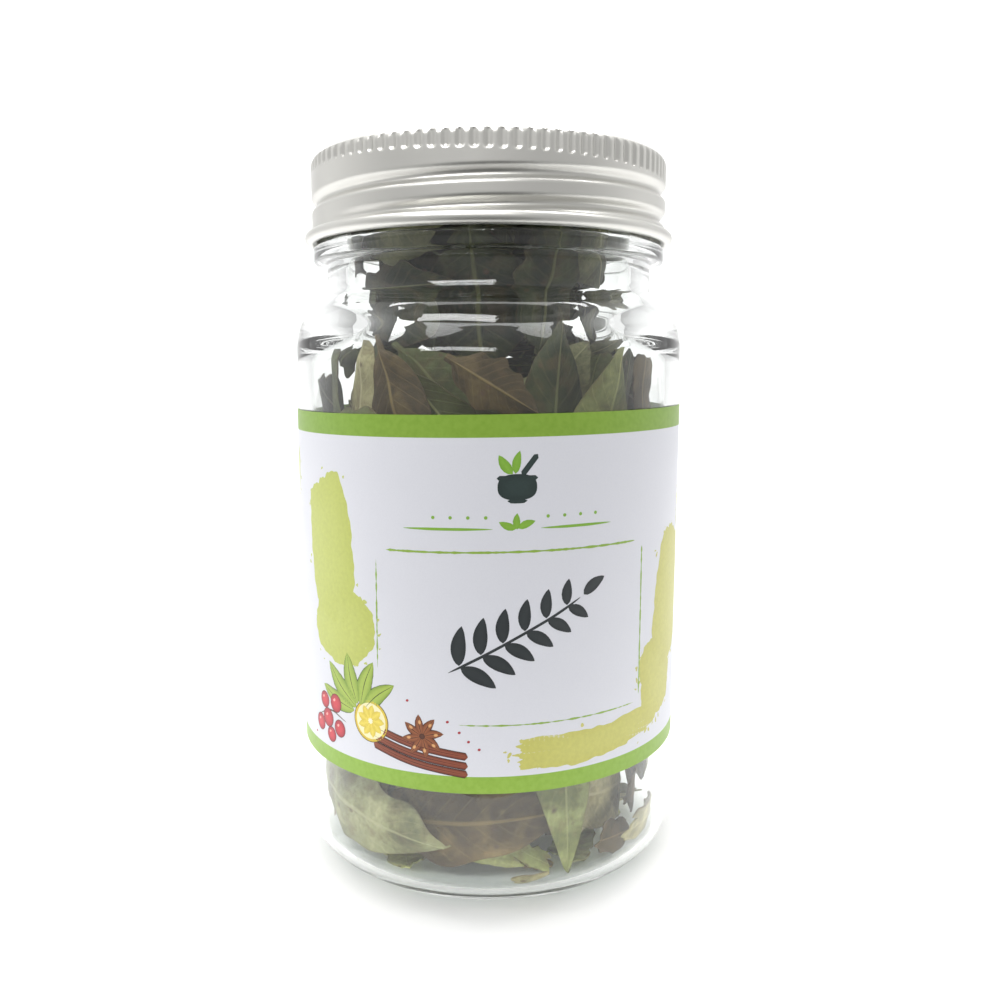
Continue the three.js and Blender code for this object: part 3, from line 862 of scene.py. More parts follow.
@dataclass
class LabelPrint:
    """The label's print: dry-brushed patches, a rough frame, a leaf sprig and drawn spices.

    Every mark is a thin ink film of its own, laid on the paper in layers.
    """

    label: PaperLabel
    layer_mm: float = 0.0028
    edge_from: float = 0.35  # share of the way to a mark's edge where its edge colour sets in
    specks: int = 16  # round each patch
    speck_reach: Point = (1.02, 1.3)  # their distance from its middle, in its radii
    speck_size: Point = (0.12, 0.5)
    speck_heights: Point = (3.4, 53.0)  # clear of the two bands
    seed: int = 4127
    marks: list[bpy.types.Object] = field(default_factory=list)

    def __post_init__(self) -> None:
        """Starts the draws that roughen the marks' edges."""
        self.draw = Draws(self.seed)

    def lay(self, cells: tuple[int, int], flat: Place, ink: Ink, edge: Place) -> None:
        """Prints one mark.

        Args:
            cells: the mark's cells across and along.
            flat: gives the flat label's points for shares across and along.
            ink: the mark's ink.
            edge: gives how near the mark's edge a point is, from 0 to 1.
        """
        shares: list[np.ndarray] = []

        def place(across: np.ndarray, along: np.ndarray) -> np.ndarray:
            shares.extend([across, along])
            points = flat(across, along)
            return self.label.wrap(points[:, 0], points[:, 1], ink.layer * self.layer_mm)

        piece = laid_grid("mark", *cells, place)
        near = smoothstep(edge(*shares), self.edge_from, 1.0)[:, None]
        colours = np.array(linear(ink.inside)) * (1.0 - near) + np.array(linear(ink.edge)) * near
        attribute = piece.data.color_attributes.new("ink", "FLOAT_COLOR", "POINT")
        attribute.data.foreach_set("color", colours.astype(np.float32).ravel())
        self.marks.append(piece)

    def stroke(
        self, path: list[Point], width: float, ink: Ink, taper: float = 1.0, rough: float = 0.0,
        belly: bool = False,
    ) -> None:
        """Draws a line along a path.

        Args:
            path: the flat points it runs through, in mm.
            width: its greatest width.
            ink: its ink.
            taper: share of the length over which its ends narrow, none for 0.
            rough: share of the width that a dry brush leaves out, at random.
            belly: swells it along its whole length as a leaf does.
        """
        knots = np.array(path, float)
        ends = np.concatenate([[0.0], np.cumsum(np.hypot(*np.diff(knots, axis=0).T))])
        length = ends[-1]
        phases = [self.draw(0.0, math.tau) for _ in range(4)]

        def at(share: np.ndarray) -> np.ndarray:
            """Points of the smoothed path at shares of its length."""
            window = 0.5 / max(len(knots) - 1, 1)
            spread = [np.clip(share + offset * window, 0.0, 1.0) for offset in (-0.5, 0.0, 0.5)]
            return sum(
                np.column_stack([np.interp(s * length, ends, knots[:, axis]) for axis in (0, 1)])
                for s in spread
            ) / 3.0

        def flat(across: np.ndarray, along: np.ndarray) -> np.ndarray:
            step = 0.01
            heading = at(np.clip(along + step, 0, 1)) - at(np.clip(along - step, 0, 1))
            heading /= np.maximum(np.hypot(*heading.T), 1e-9)[:, None]
            normal = np.column_stack([-heading[:, 1], heading[:, 0]])
            size = np.ones_like(along)
            if taper > 0.0:
                near_end = np.minimum(along, 1.0 - along) / (0.5 * taper)
                size = np.clip(near_end, 0.02, 1.0) ** 0.6
            if belly:
                size = np.maximum(np.sin(math.pi * np.clip(along, 0.0, 1.0) ** 0.85), 0.02) ** 0.9
            wobble = sum(
                np.sin(along * length * rate + phase)
                for rate, phase in zip((1.1, 2.7, 5.3, 9.1), phases)
            )
            size = size * (1.0 - rough * np.clip(0.5 + 0.3 * wobble, 0.0, 1.0))
            return at(along) + normal * ((across - 0.5) * width * size)[:, None]

        cells = (cell_count(width, 0.6, 2, 40), cell_count(length, 0.55, 3, 120))
        self.lay(cells, flat, ink, lambda across, along: np.abs(across - 0.5) * 2.0)

    def blot(
        self, centre: Point, radii: Point, ink: Ink, turn: float = 0.0, square: float = 2.0,
        ragged: float = 0.0,
    ) -> None:
        """Fills a rounded shape.

        Args:
            centre: its middle on the flat label, in mm.
            radii: half its size along its own axes.
            ink: its ink.
            turn: its turn in degrees.
            square: 2 for an ellipse, more for a squarer shape.
            ragged: mm by which a dry brush breaks its edge.
        """
        rates = (2, 3, 5, 9, 17, 31)
        phases = [self.draw(0.0, math.tau) for _ in rates]
        spin = math.radians(turn)

        def flat(across: np.ndarray, along: np.ndarray) -> np.ndarray:
            angle = across * math.tau
            cosine, sine = np.cos(angle), np.sin(angle)
            reach = (np.abs(cosine) ** square + np.abs(sine) ** square) ** (-1.0 / square)
            edge = sum(
                np.sin(angle * rate + phase) / rate**0.45 for rate, phase in zip(rates, phases)
            )
            reach = reach + ragged * edge / max(min(radii), 0.1)
            x = radii[0] * reach * along * cosine
            y = radii[1] * reach * along * sine
            turned_x = x * math.cos(spin) - y * math.sin(spin)
            turned_y = x * math.sin(spin) + y * math.cos(spin)
            return np.column_stack([centre[0] + turned_x, centre[1] + turned_y])

        size = max(radii)
        cells = (cell_count(math.tau * size, 0.45, 14, 260), cell_count(size, 0.6, 3, 34))
        self.lay(cells, flat, ink, lambda across, along: along)

    def leaf(
        self, base: Point, tip: Point, width: float, fill: Ink, line: Ink | None = None
    ) -> None:
        """Draws one leaf, with a midrib and an outline where a line ink is given."""
        bow = 0.06  # share of its length
        middle = (
            (base[0] + tip[0]) / 2.0 - (tip[1] - base[1]) * bow,
            (base[1] + tip[1]) / 2.0 + (tip[0] - base[0]) * bow,
        )
        path = [base, middle, tip]
        if line:
            self.stroke(path, width + 0.26, line, 0.0, 0.06, True)
        self.stroke(path, width, fill, 0.0, 0.0, True)
        if line:
            self.stroke(path, 0.14, Ink(line.inside, line.edge, fill.layer + 1))

    def patches(self) -> None:
        """Brushes the lime patches at both sides of the front and round the back."""
        lime = Ink("c0c86a", "bdc564", 1)
        warm = Ink("c8c66e", "c5c268", 1)
        for centre, radii, ink, turn, square in (
            ((-28.5, 36.0), (6.0, 11.5), lime, 8.0, 3.0),
            ((-26.0, 24.0), (7.2, 6.5), lime, -14.0, 2.6),
            ((-47.5, 47.0), (5.2, 5.6), lime, 0.0, 2.4),
            ((37.5, 26.0), (6.6, 11.0), warm, -6.0, 3.4),
            ((32.5, 13.5), (5.4, 7.0), warm, 12.0, 3.0),
            ((17.5, 6.4), (12.6, 2.7), warm, 4.0, 4.0),
            ((46.5, 40.0), (3.2, 4.4), warm, -20.0, 2.4),
            ((-70.0, 12.0), (11.0, 5.6), lime, 6.0, 3.6),
            ((72.0, 45.0), (9.0, 6.0), warm, -8.0, 3.2),
            ((86.0, 17.0), (7.0, 9.5), lime, 10.0, 2.8),
        ):
            self.blot(centre, radii, ink, turn, square, 0.34)
            for _ in range(self.specks):
                angle = self.draw(0.0, math.tau)
                reach = self.draw(*self.speck_reach)
                speck = on_ellipse(centre, (radii[0] * reach, radii[1] * reach), angle)
                if self.speck_heights[0] < speck[1] < self.speck_heights[1]:
                    size = self.draw(*self.speck_size)
                    self.blot(speck, (size, size * 0.6), ink, self.draw(0.0, 180.0), 2.0, 0.05)

    def frame_lines(self) -> None:
        """Rules the rough frame round the sprig, and a plain one on the back."""
        green = Ink("93b54c", "8fb146", 3)
        for left, right, low, high in ((-17.8, 26.7, 10.8, 37.0), (-100.0, -62.0, 20.0, 50.0)):
            middle, half_way = (left + right) / 2, (low + high) / 2
            for path, width, taper, rough in (
                ([(left, high), (middle, high + 0.1), (right, high)], 0.42, 0.05, 0.5),
                ([(right, high), (right + 0.05, half_way), (right, low)], 0.4, 0.05, 0.5),
                ([(right, low), (middle, low - 0.1), (left + 12.0, low)], 0.34, 0.3, 0.8),
                ([(left, low + 6.0), (left, high)], 0.34, 0.3, 0.7),
            ):
                self.stroke(path, width, green, taper, rough)

    def sprig(self) -> None:
        """Draws the pinnate curry-leaf sprig in the frame, in charcoal."""
        charcoal = Ink("33383a", "2a2f31", 4)
        stem = [(-6.5, 18.6), (-1.0, 21.4), (5.0, 24.6), (10.5, 27.4), (14.6, 29.8)]
        self.stroke(stem, 0.42, charcoal, 0.3)
        for index in range(6):
            at = between(stem[0], stem[-1], 0.1 + index * 0.155)
            length = 6.6 - 0.45 * index
            for heading in (86.0, -30.0):
                tip = on_ellipse(at, (length, length), math.radians(heading))
                self.leaf(at, tip, 2.3 - 0.12 * index, charcoal)
        self.leaf(stem[-1], (18.6, 32.4), 1.9, charcoal)

    def ornament(self) -> None:
        """Draws the small mortar and pestle over the frame, and the rule beneath it."""
        charcoal = Ink("2e3d3b", "263432", 3)
        green = Ink("86b440", "7aa838", 4)
        rule = Ink("86b440", "7fae3a", 2)
        self.stroke([(0.9, 47.9), (4.2, 47.9), (7.5, 47.9)], 0.75, charcoal, 0.1)
        self.blot((4.2, 46.6), (2.9, 1.9), charcoal, 0.0, 2.6)
        self.stroke([(2.6, 44.6), (4.2, 44.5), (5.8, 44.6)], 0.6, charcoal, 0.15)
        self.stroke([(4.6, 48.0), (7.4, 51.6)], 0.85, charcoal, 0.25)
        for base, tip, width in (((3.6, 48.4), (1.4, 51.4), 1.5), ((3.9, 48.4), (4.6, 52.0), 1.3)):
            self.leaf(base, tip, width, green)
        for left, middle, right in ((-13.5, -5.0, 1.2), (7.2, 13.0, 20.0)):
            self.stroke([(left, 40.5), (middle, 40.5), (right, 40.5)], 0.42, rule, 0.7)
        for low, tip, ink in ((40.5, (7.0, 41.6), rule), (40.5, (1.4, 41.6), rule),
                              (40.3, (4.2, 42.9), green)):
            self.leaf((4.2, low), tip, 1.15, ink)
        for step in range(4):
            for sign in (-1.0, 1.0):
                self.blot((4.2 + sign * (4.6 + step * 2.6), 42.2), (0.26, 0.26), rule)

    def star_anise(self, centre: Point, size: float) -> None:
        """Draws a star anise."""
        line = Ink("4a2f24", "3c241b", 5)
        pod = Ink("a3623c", "7a4329", 6)
        seed = Ink("e0b07a", "c98f55", 8)
        for index in range(8):
            angle = math.radians(index * 45.0 + 10.0)
            tip = on_ellipse(centre, (size, size), angle)
            self.leaf(centre, tip, size * 0.34, pod, line)
            middle, radii = between(centre, tip, 0.62), (size * 0.1, size * 0.065)
            self.blot(middle, radii, seed, math.degrees(angle))
        self.blot(centre, (size * 0.13, size * 0.13), Ink("5a3626", "4a2c20", 8))

    def citrus_slice(self, centre: Point, size: float) -> None:
        """Draws a cut citrus slice."""
        for radius, ink in (
            (size + 0.13, Ink("6d5a20", "5d4c1c", 4)),
            (size, Ink("e6cf52", "d9bd3c", 5)),
            (size * 0.88, Ink("f6f0cf", "f2eab8", 6)),
        ):
            self.blot(centre, (radius, radius), ink)
        for index in range(9):
            angle = math.radians(index * 40.0)
            base, tip = (
                on_ellipse(centre, (share * size, share * size), angle) for share in (0.08, 0.84)
            )
            self.leaf(base, tip, size * 0.42, Ink("ecd85e", "dcc448", 7))

    def berries(self) -> None:
        """Draws the red berries on their twig."""
        self.stroke([(-33.5, 7.2), (-29.0, 9.4), (-24.5, 8.0)], 0.3, Ink("5d4630", "4c3826", 5))
        for x, y, size in (
            (-32.6, 6.2, 1.35), (-30.0, 7.6, 1.5), (-31.0, 10.4, 1.3),
            (-27.6, 10.6, 1.45), (-26.6, 6.6, 1.35), (-29.0, 5.0, 1.2),
        ):
            glint = (size * 0.24, size * 0.16)
            self.blot((x, y), (size + 0.12, size + 0.12), Ink("6b1f22", "5a181c", 7))
            self.blot((x, y), (size, size), Ink("cf3f4a", "a92b3a", 8))
            self.blot((x - 0.4, y + 0.45), glint, Ink("f3b3ac", "eb9a96", 9), 35.0)

    def spices(self) -> None:
        """Draws the group of spices at the label's lower left."""
        line = Ink("3f4a22", "333d1b", 4)
        for base, tip, width in (
            ((-22.0, 11.0), (-29.5, 17.6), 3.0), ((-22.0, 11.5), (-24.4, 20.0), 3.0),
            ((-21.5, 11.5), (-18.6, 19.4), 2.8), ((-22.5, 10.5), (-31.5, 13.2), 2.7),
            ((-21.0, 11.0), (-14.6, 16.2), 2.6),
        ):
            self.leaf(base, tip, width, Ink("a9bf52", "7d9a38", 5), line)
        for shift in (0.0, 1.5, -1.3):
            bark = [(-19.5, 7.6 + shift), (-12.0, 5.6 + shift), (-2.4, 4.2 + shift)]
            for width, ink, taper in (
                (1.25, Ink("3f2018", "341a14", 4), 0.02),
                (1.0, Ink("9a5238", "6d3424", 5), 0.02),
                (0.14, Ink("52281c", "482217", 6), 1.0),
            ):
                self.stroke(bark, width, ink, taper)
        self.citrus_slice((-19.4, 9.6), 3.3)
        self.star_anise((-10.2, 8.6), 3.6)
        self.berries()
        dots = ((-3.0, 8.2), (-4.4, 9.6), (-1.4, 7.0), (-34.6, 3.9), (-6.2, 11.2), (-12.6, 14.0))
        for dot in dots:
            self.blot(dot, (0.24, 0.2), Ink("b5373f", "9a2c34", 3), 20.0)

    def build(self) -> bpy.types.Object:
        """Returns all the marks as one piece."""
        self.patches()
        self.frame_lines()
        self.sprig()
        self.ornament()
        self.spices()
        piece = joined("label_print", self.marks)
        bpy.ops.object.mode_set(mode="EDIT")
        bpy.ops.mesh.select_all(action="SELECT")
        bpy.ops.mesh.remove_doubles(threshold=1e-7)
        bpy.ops.mesh.select_all(action="SELECT")
        bpy.ops.mesh.dissolve_degenerate(threshold=1e-8)
        bpy.ops.object.mode_set(mode="OBJECT")
        dress(piece, PrintedInk().material())
        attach(piece, "jar")
        return piece


@dataclass
class Leaf:
    """One bent dried leaf: a height field over its own flat frame.

    The azimuth is counted from the front, towards +X. The turn is that of the long axis from
    level, and the lean tips the leaf's top towards the axis. Both are in degrees, as the
    azimuth is. The spacing is kept from other leaves, and the margin from the glass.
    """

    azimuth: float
    height: float
    turn: float
    lean: float
    length: float
    width: float
    tone: Tone
    cup: float = 0.0
    twist: float = 0.0
    wave: float = 0.0
    phase: float = 0.0
    radius: float = 0.0
    bend_radius: float = 30.0
    bend_sign: int = 1
    spacing: float = 1.35
    margin: float = 0.8
    stalk: float = 0.08
    stalk_width: float = 1.3
    cut: Point = (0.0, 1.0)  # the shares of the blade's length between which a bit is left
    rib_fold: float = 0.16  # how far the midrib stands out
    rib_half: float = 0.55

    def __post_init__(self) -> None:
        """Sets the flat frame that the blade is measured in."""
        azimuth, lean, turn = (math.radians(a) for a in (self.azimuth, self.lean, self.turn))
        outward = np.array([math.sin(azimuth), -math.cos(azimuth), 0.0])
        self.outward = outward
        sideways = np.array([math.cos(azimuth), math.sin(azimuth), 0.0])
        upward = np.array([0.0, 0.0, 1.0])
        leaned = upward * math.cos(lean) + np.cross(sideways, upward) * math.sin(lean)
        self.normal = outward * math.cos(lean) + np.cross(sideways, outward) * math.sin(lean)
        self.along = sideways * math.cos(turn) + leaned * math.sin(turn)
        self.across = np.cross(self.normal, self.along)
        self.centre = outward * self.radius
        self.centre[2] = self.height
        self.turned = (math.cos(turn), math.sin(turn))
        rows, sides = np.meshgrid(np.arange(17) / 16.0, np.arange(9) / 4.0 - 1.0, indexing="ij")
        self.samples = self.points(rows.ravel(), sides.ravel())

    def half_width(self, share: np.ndarray) -> np.ndarray:
        """Returns half the blade's width at shares of its length from the stalk's end."""
        blade = np.clip((share - self.stalk) / (1.0 - self.stalk), 0.0, 1.0)
        blade = self.cut[0] + (self.cut[1] - self.cut[0]) * blade
        width = self.width / 2.0 * np.maximum(np.sin(math.pi * blade**0.8), 0.0) ** 0.9
        return np.maximum(width, np.where(share < 0.5, self.stalk_width / 2.0, 0.0))

    def rise(self, share: np.ndarray, side: np.ndarray) -> np.ndarray:
        """Returns the blade's height over its flat frame."""
        x = (share - 0.5) * self.length
        y = side * self.half_width(share)
        bent = x * self.turned[0] - y * self.turned[1]
        bend = np.sqrt(np.maximum(self.bend_radius**2 - bent**2, 0.0)) - self.bend_radius
        wave = np.sin(math.tau * (1.6 * share + self.phase)) * side * np.abs(side)
        return self.bend_sign * bend - self.cup * side**2 + self.wave * wave + self.twist * x * y

    def points(self, share: np.ndarray, side: np.ndarray, extra: Numbers = 0.0) -> np.ndarray:
        """Returns points of the blade, from stalk (0) to tip (1) and edge (-1) to edge (1)."""
        x = (share - 0.5) * self.length
        y = side * self.half_width(share)
        rise = self.rise(share, side) + extra
        flat = self.centre + np.outer(x, self.along) + np.outer(y, self.across)
        return flat + np.outer(rise, self.normal)

    def dense(self, spacing: float) -> np.ndarray:
        """Returns points all over the blade, at most a spacing apart."""
        rows = np.linspace(0.0, 1.0, int(self.length / spacing) + 2)
        sides = np.linspace(-1.0, 1.0, int(self.width / spacing) + 2)
        share, side = np.meshgrid(rows, sides, indexing="ij")
        return self.points(share.ravel(), side.ravel())

    def inside(self, jar: GlassJar, fill_top: float) -> bool:
        """True if the leaf clears the jar's walls, its floor and the fill's top."""
        reach, _, height = polar(self.samples)
        return bool(
            height.min() > jar.floor + jar.push_up + self.margin
            and height.max() < fill_top
            and np.all(reach < jar.room_radius(height) - self.margin)
        )

    def clear_of(self, other: "Leaf", spacing: float) -> bool:
        """True if none of the other leaf's samples lies too close over or under this blade."""
        offset = other.samples - self.centre
        share = offset @ self.along / self.length + 0.5
        y = offset @ self.across
        nearest = np.clip(share, 0.0, 1.0)
        half = self.half_width(nearest)
        over = (np.abs(share - 0.5) <= 0.5 + spacing / self.length) & (np.abs(y) <= half + spacing)
        if not over.any():
            return True
        side = np.clip(y / np.maximum(half, 1e-9), -1.0, 1.0)
        gap = np.abs(offset @ self.normal - self.rise(nearest, side))
        return not bool(np.any(over & (gap <= spacing)))

    def free_among(self, placed: list["Leaf"]) -> bool:
        """True if the leaf keeps its distance from every leaf already placed."""
        for other in placed:
            reach = (self.length + other.length) / 2.0 + 2.0
            if np.linalg.norm(self.centre - other.centre) > reach:
                continue
            if not (self.clear_of(other, self.spacing) and other.clear_of(self, self.spacing)):
                return False
        return True

    def sheet(self, name: str, draw: Draws, cells: tuple[int, int]) -> bpy.types.Object:
        """Returns the crinkled blade as an open sheet, with its age as an attribute.

        Args:
            name: the piece's name.
            draw: the draws that crinkle and nibble it.
            cells: its cells across and along.
        """
        waves = [
            (draw(0.25, 0.95), draw(-0.9, 0.9), draw(0.0, math.tau), draw(0.03, 0.09))
            for _ in range(5)
        ]
        nibbles = [(draw(4.0, 26.0), draw(0.0, math.tau), draw(0.012, 0.05)) for _ in range(5)]
        bite_at, bite_side, bite = draw(0.2, 0.95), draw(-1.0, 1.0), draw(-0.1, 0.32)
        age = draw(0.0, 1.0)
        broken, rough = self.cut != (0.0, 1.0), draw(0.0, math.tau)

        def place(across: np.ndarray, along: np.ndarray) -> np.ndarray:
            side = across * 2.0 - 1.0
            x, y = along * self.length, side * self.half_width(along)
            ripple = sum(
                size * np.sin(rate * x + tilt * y + phase) for rate, tilt, phase, size in waves
            )
            fold = self.rib_fold * np.exp(-((y / self.rib_half) ** 2))
            edge = np.sign(side)
            notch = sum(
                size * (1.0 + np.sin(along * rate * (1.0 + 0.2 * edge) + phase + edge))
                for rate, phase, size in nibbles
            )
            torn = max(bite, 0.0) * np.exp(-(((along - bite_at) / 0.07) ** 2))
            notch = notch + torn * (edge * np.sign(bite_side) > 0)
            if broken:
                # Both ends are torn across, aslant.
                tear = 0.1 * np.sin(3.0 * side + rough) + 0.05 * np.sin(11.0 * side + 2.0 * rough)
                along = along + tear * (2.0 * along - 1.0) ** 3
            narrowed = side * (1.0 - np.clip(notch * np.abs(side) ** 3, 0.0, 0.6))
            return self.points(along, narrowed, ripple + fold)

        piece = laid_grid(name, *cells, place)
        ages = np.full(len(piece.data.vertices), age, np.float32)
        piece.data.attributes.new("age", "FLOAT", "POINT").data.foreach_set("value", ages)
        return piece


class FillSpace:
    """Room inside the jar as small cells, so that a bit finds out fast whether it fits.

    It also holds what is hidden behind a leaf for an eye outside, in steps of height and azimuth.
    """

    STEP = (1.5, 3.0)  # mm of height and degrees of azimuth
    EYE = (150.0, 85.0)  # mm that the eye is from the glass, and its height
    FLOOR_RADIUS = 24.0  # mm from the axis to where the floor starts to rise

    def __init__(self, jar: GlassJar, top: float, cell: float, margin: float = 0.4) -> None:
        """Makes the empty room, with all that lies in the glass or over the top taken."""
        self.reach, self.cell = jar.body_radius, cell
        side = int(2.0 * self.reach / cell) + 3
        across = (np.arange(side) - 0.5) * cell - self.reach
        height = (np.arange(int(jar.lip / cell) + 3) - 0.5) * cell
        radius = np.hypot(across[:, None], across[None, :])[:, :, None]
        self.taken = radius > jar.room_radius(height) - margin
        pushed_up = jar.push_up * (1.0 - np.clip(radius / self.FLOOR_RADIUS, 0.0, 1.0) ** 2)
        self.taken |= (height < jar.floor + pushed_up + margin) | (height > top)
        shifts = np.array([-1, 0, 1])
        around = np.array(np.meshgrid(shifts, shifts, shifts)).reshape(3, -1).T
        self.around = around[np.abs(around).sum(1) < 3]
        self.hidden = np.zeros((int(jar.lip / self.STEP[0]) + 2, int(360.0 / self.STEP[1])), bool)

    def cells(self, points: np.ndarray) -> np.ndarray:
        """Returns the cell that holds each point, the outermost for one that is further out."""
        cells = ((points + [self.reach, self.reach, 0.0]) / self.cell).astype(int) + 1
        return np.clip(cells, 0, np.array(self.taken.shape) - 1)

    def blocked(self, points: np.ndarray) -> np.ndarray:
        """Tells for each row of points whether any of them falls in a taken cell."""
        return self.taken[tuple(np.moveaxis(self.cells(points), -1, 0))].any(axis=-1)

    def spots(self, height: np.ndarray, azimuth: np.ndarray) -> tuple[np.ndarray, np.ndarray]:
        """Returns the rows and columns of the hidden spots at heights and azimuths."""
        rows = np.clip((height / self.STEP[0]).astype(int), 0, self.hidden.shape[0] - 1)
        return rows, (azimuth // self.STEP[1]).astype(int) % self.hidden.shape[1]

    def hide(self, points: np.ndarray) -> None:
        """Marks the spots behind the points as hidden."""
        depth = np.maximum(self.reach - np.hypot(points[:, 0], points[:, 1]), 0.0)
        height = points[:, 2] + depth * (self.EYE[1] - points[:, 2]) / self.EYE[0]
        azimuth = np.degrees(np.arctan2(points[:, 0], -points[:, 1]))
        self.hidden[self.spots(height, azimuth)] = True

    def take(self, points: np.ndarray) -> None:
        """Marks the cells at the points, and those next to them, as taken."""
        cells = (self.cells(points)[:, None, :] + self.around[None, :, :]).reshape(-1, 3)
        cells = np.clip(cells, 0, np.array(self.taken.shape) - 1)
        self.taken[tuple(cells.T)] = True


@dataclass(frozen=True)
class Bits:
    """One kind of filler: smaller leaves or broken bits, and how they lie.

    Lengths and heights are in mm and leans in degrees. The core is how far from the wall the
    search for room starts, and follow says how much a bit leans with the wall beside it.
    """

    name: str
    count: int
    tries: int
    length: Point
    width: Point
    heights: Point
    lean: Point
    curl: float
    deepest: float
    cells: tuple[int, int] = (8, 12)
    core: Point = (0.0, 0.0)
    follow: float = 1.0
    turn: Point = (-90.0, 90.0)
    whole: bool = False
    sides_only: bool = False  # laid at the sides, with the flat of the bit to the front
    gaps_only: bool = False  # laid only where an eye outside still sees past the fill


BITS = (
    Bits("low_side_bits", 40, 4000, (9.0, 16.0), (6.0, 11.0), (6.0, 22.0), (-12.0, 12.0), 0.3,
         11.0, core=(0.5, 2.0), turn=(55.0, 125.0), sides_only=True),
    Bits("upper_side_bits", 60, 6000, (9.0, 17.0), (6.0, 11.0), (66.0, 90.0), (-12.0, 12.0), 0.3,
         11.0, core=(0.5, 2.0), turn=(55.0, 125.0), sides_only=True),
    Bits("low_leaves", 60, 1500, (18.0, 30.0), (11.0, 16.0), (8.0, 21.0), (-8.0, 6.0), 0.35, 9.0,
         (10, 24), turn=(-50.0, 50.0), whole=True),
    Bits("upper_leaves", 90, 1800, (18.0, 32.0), (11.0, 17.0), (72.0, 106.0), (-5.0, 5.0), 0.55,
         9.0, (10, 24), whole=True),
    Bits("middle_leaves", 40, 300, (24.0, 38.0), (12.0, 18.0), (24.0, 70.0), (-5.0, 5.0), 0.55,
         8.0, (10, 24), whole=True),
    Bits("heel_bits", 60, 5000, (12.0, 20.0), (7.0, 12.0), (6.5, 12.0), (-6.0, 30.0), 0.3, 8.0,
         (8, 14), (0.0, 1.0), turn=(-35.0, 35.0)),
    Bits("floor_bits", 90, 6000, (9.0, 18.0), (6.0, 11.0), (3.5, 6.5), (62.0, 90.0), 0.2, 4.0,
         core=(1.0, 9.0), follow=0.0, turn=(-60.0, 60.0)),
    Bits("low_bits", 90, 6000, (9.0, 18.0), (6.0, 11.0), (6.0, 22.0), (-9.0, 9.0), 0.4, 13.0,
         gaps_only=True),
    Bits("upper_bits", 150, 10000, (9.0, 19.0), (6.0, 12.0), (70.0, 110.0), (-9.0, 9.0), 0.4, 14.0,
         gaps_only=True),
    Bits("heel_crumbs", 150, 6000, (5.0, 11.0), (3.5, 7.0), (4.2, 8.0), (-10.0, 50.0), 0.2, 8.0,
         (6, 8), (0.0, 3.0), turn=(-40.0, 40.0)),
    Bits("floor_crumbs", 160, 6000, (5.0, 11.0), (4.0, 8.0), (3.4, 6.0), (60.0, 90.0), 0.2, 4.0,
         (6, 8), (2.0, 8.0), 0.0, (-60.0, 60.0)),
    Bits("small_bits", 160, 8000, (5.0, 10.0), (3.5, 6.5), (72.0, 110.0), (-15.0, 15.0), 0.3,
         14.0, (6, 8), gaps_only=True),
    Bits("inner_leaves", 130, 1300, (20.0, 32.0), (10.0, 15.0), (9.0, 106.0), (-50.0, 50.0), 1.0,
         5.0, (8, 18), (6.0, 24.0), 0.0, whole=True),
    Bits("floor_litter", 80, 2000, (8.0, 20.0), (6.0, 12.0), (3.8, 10.0), (70.0, 90.0), 0.4, 6.0,
         core=(3.0, 24.0), follow=0.0),
)


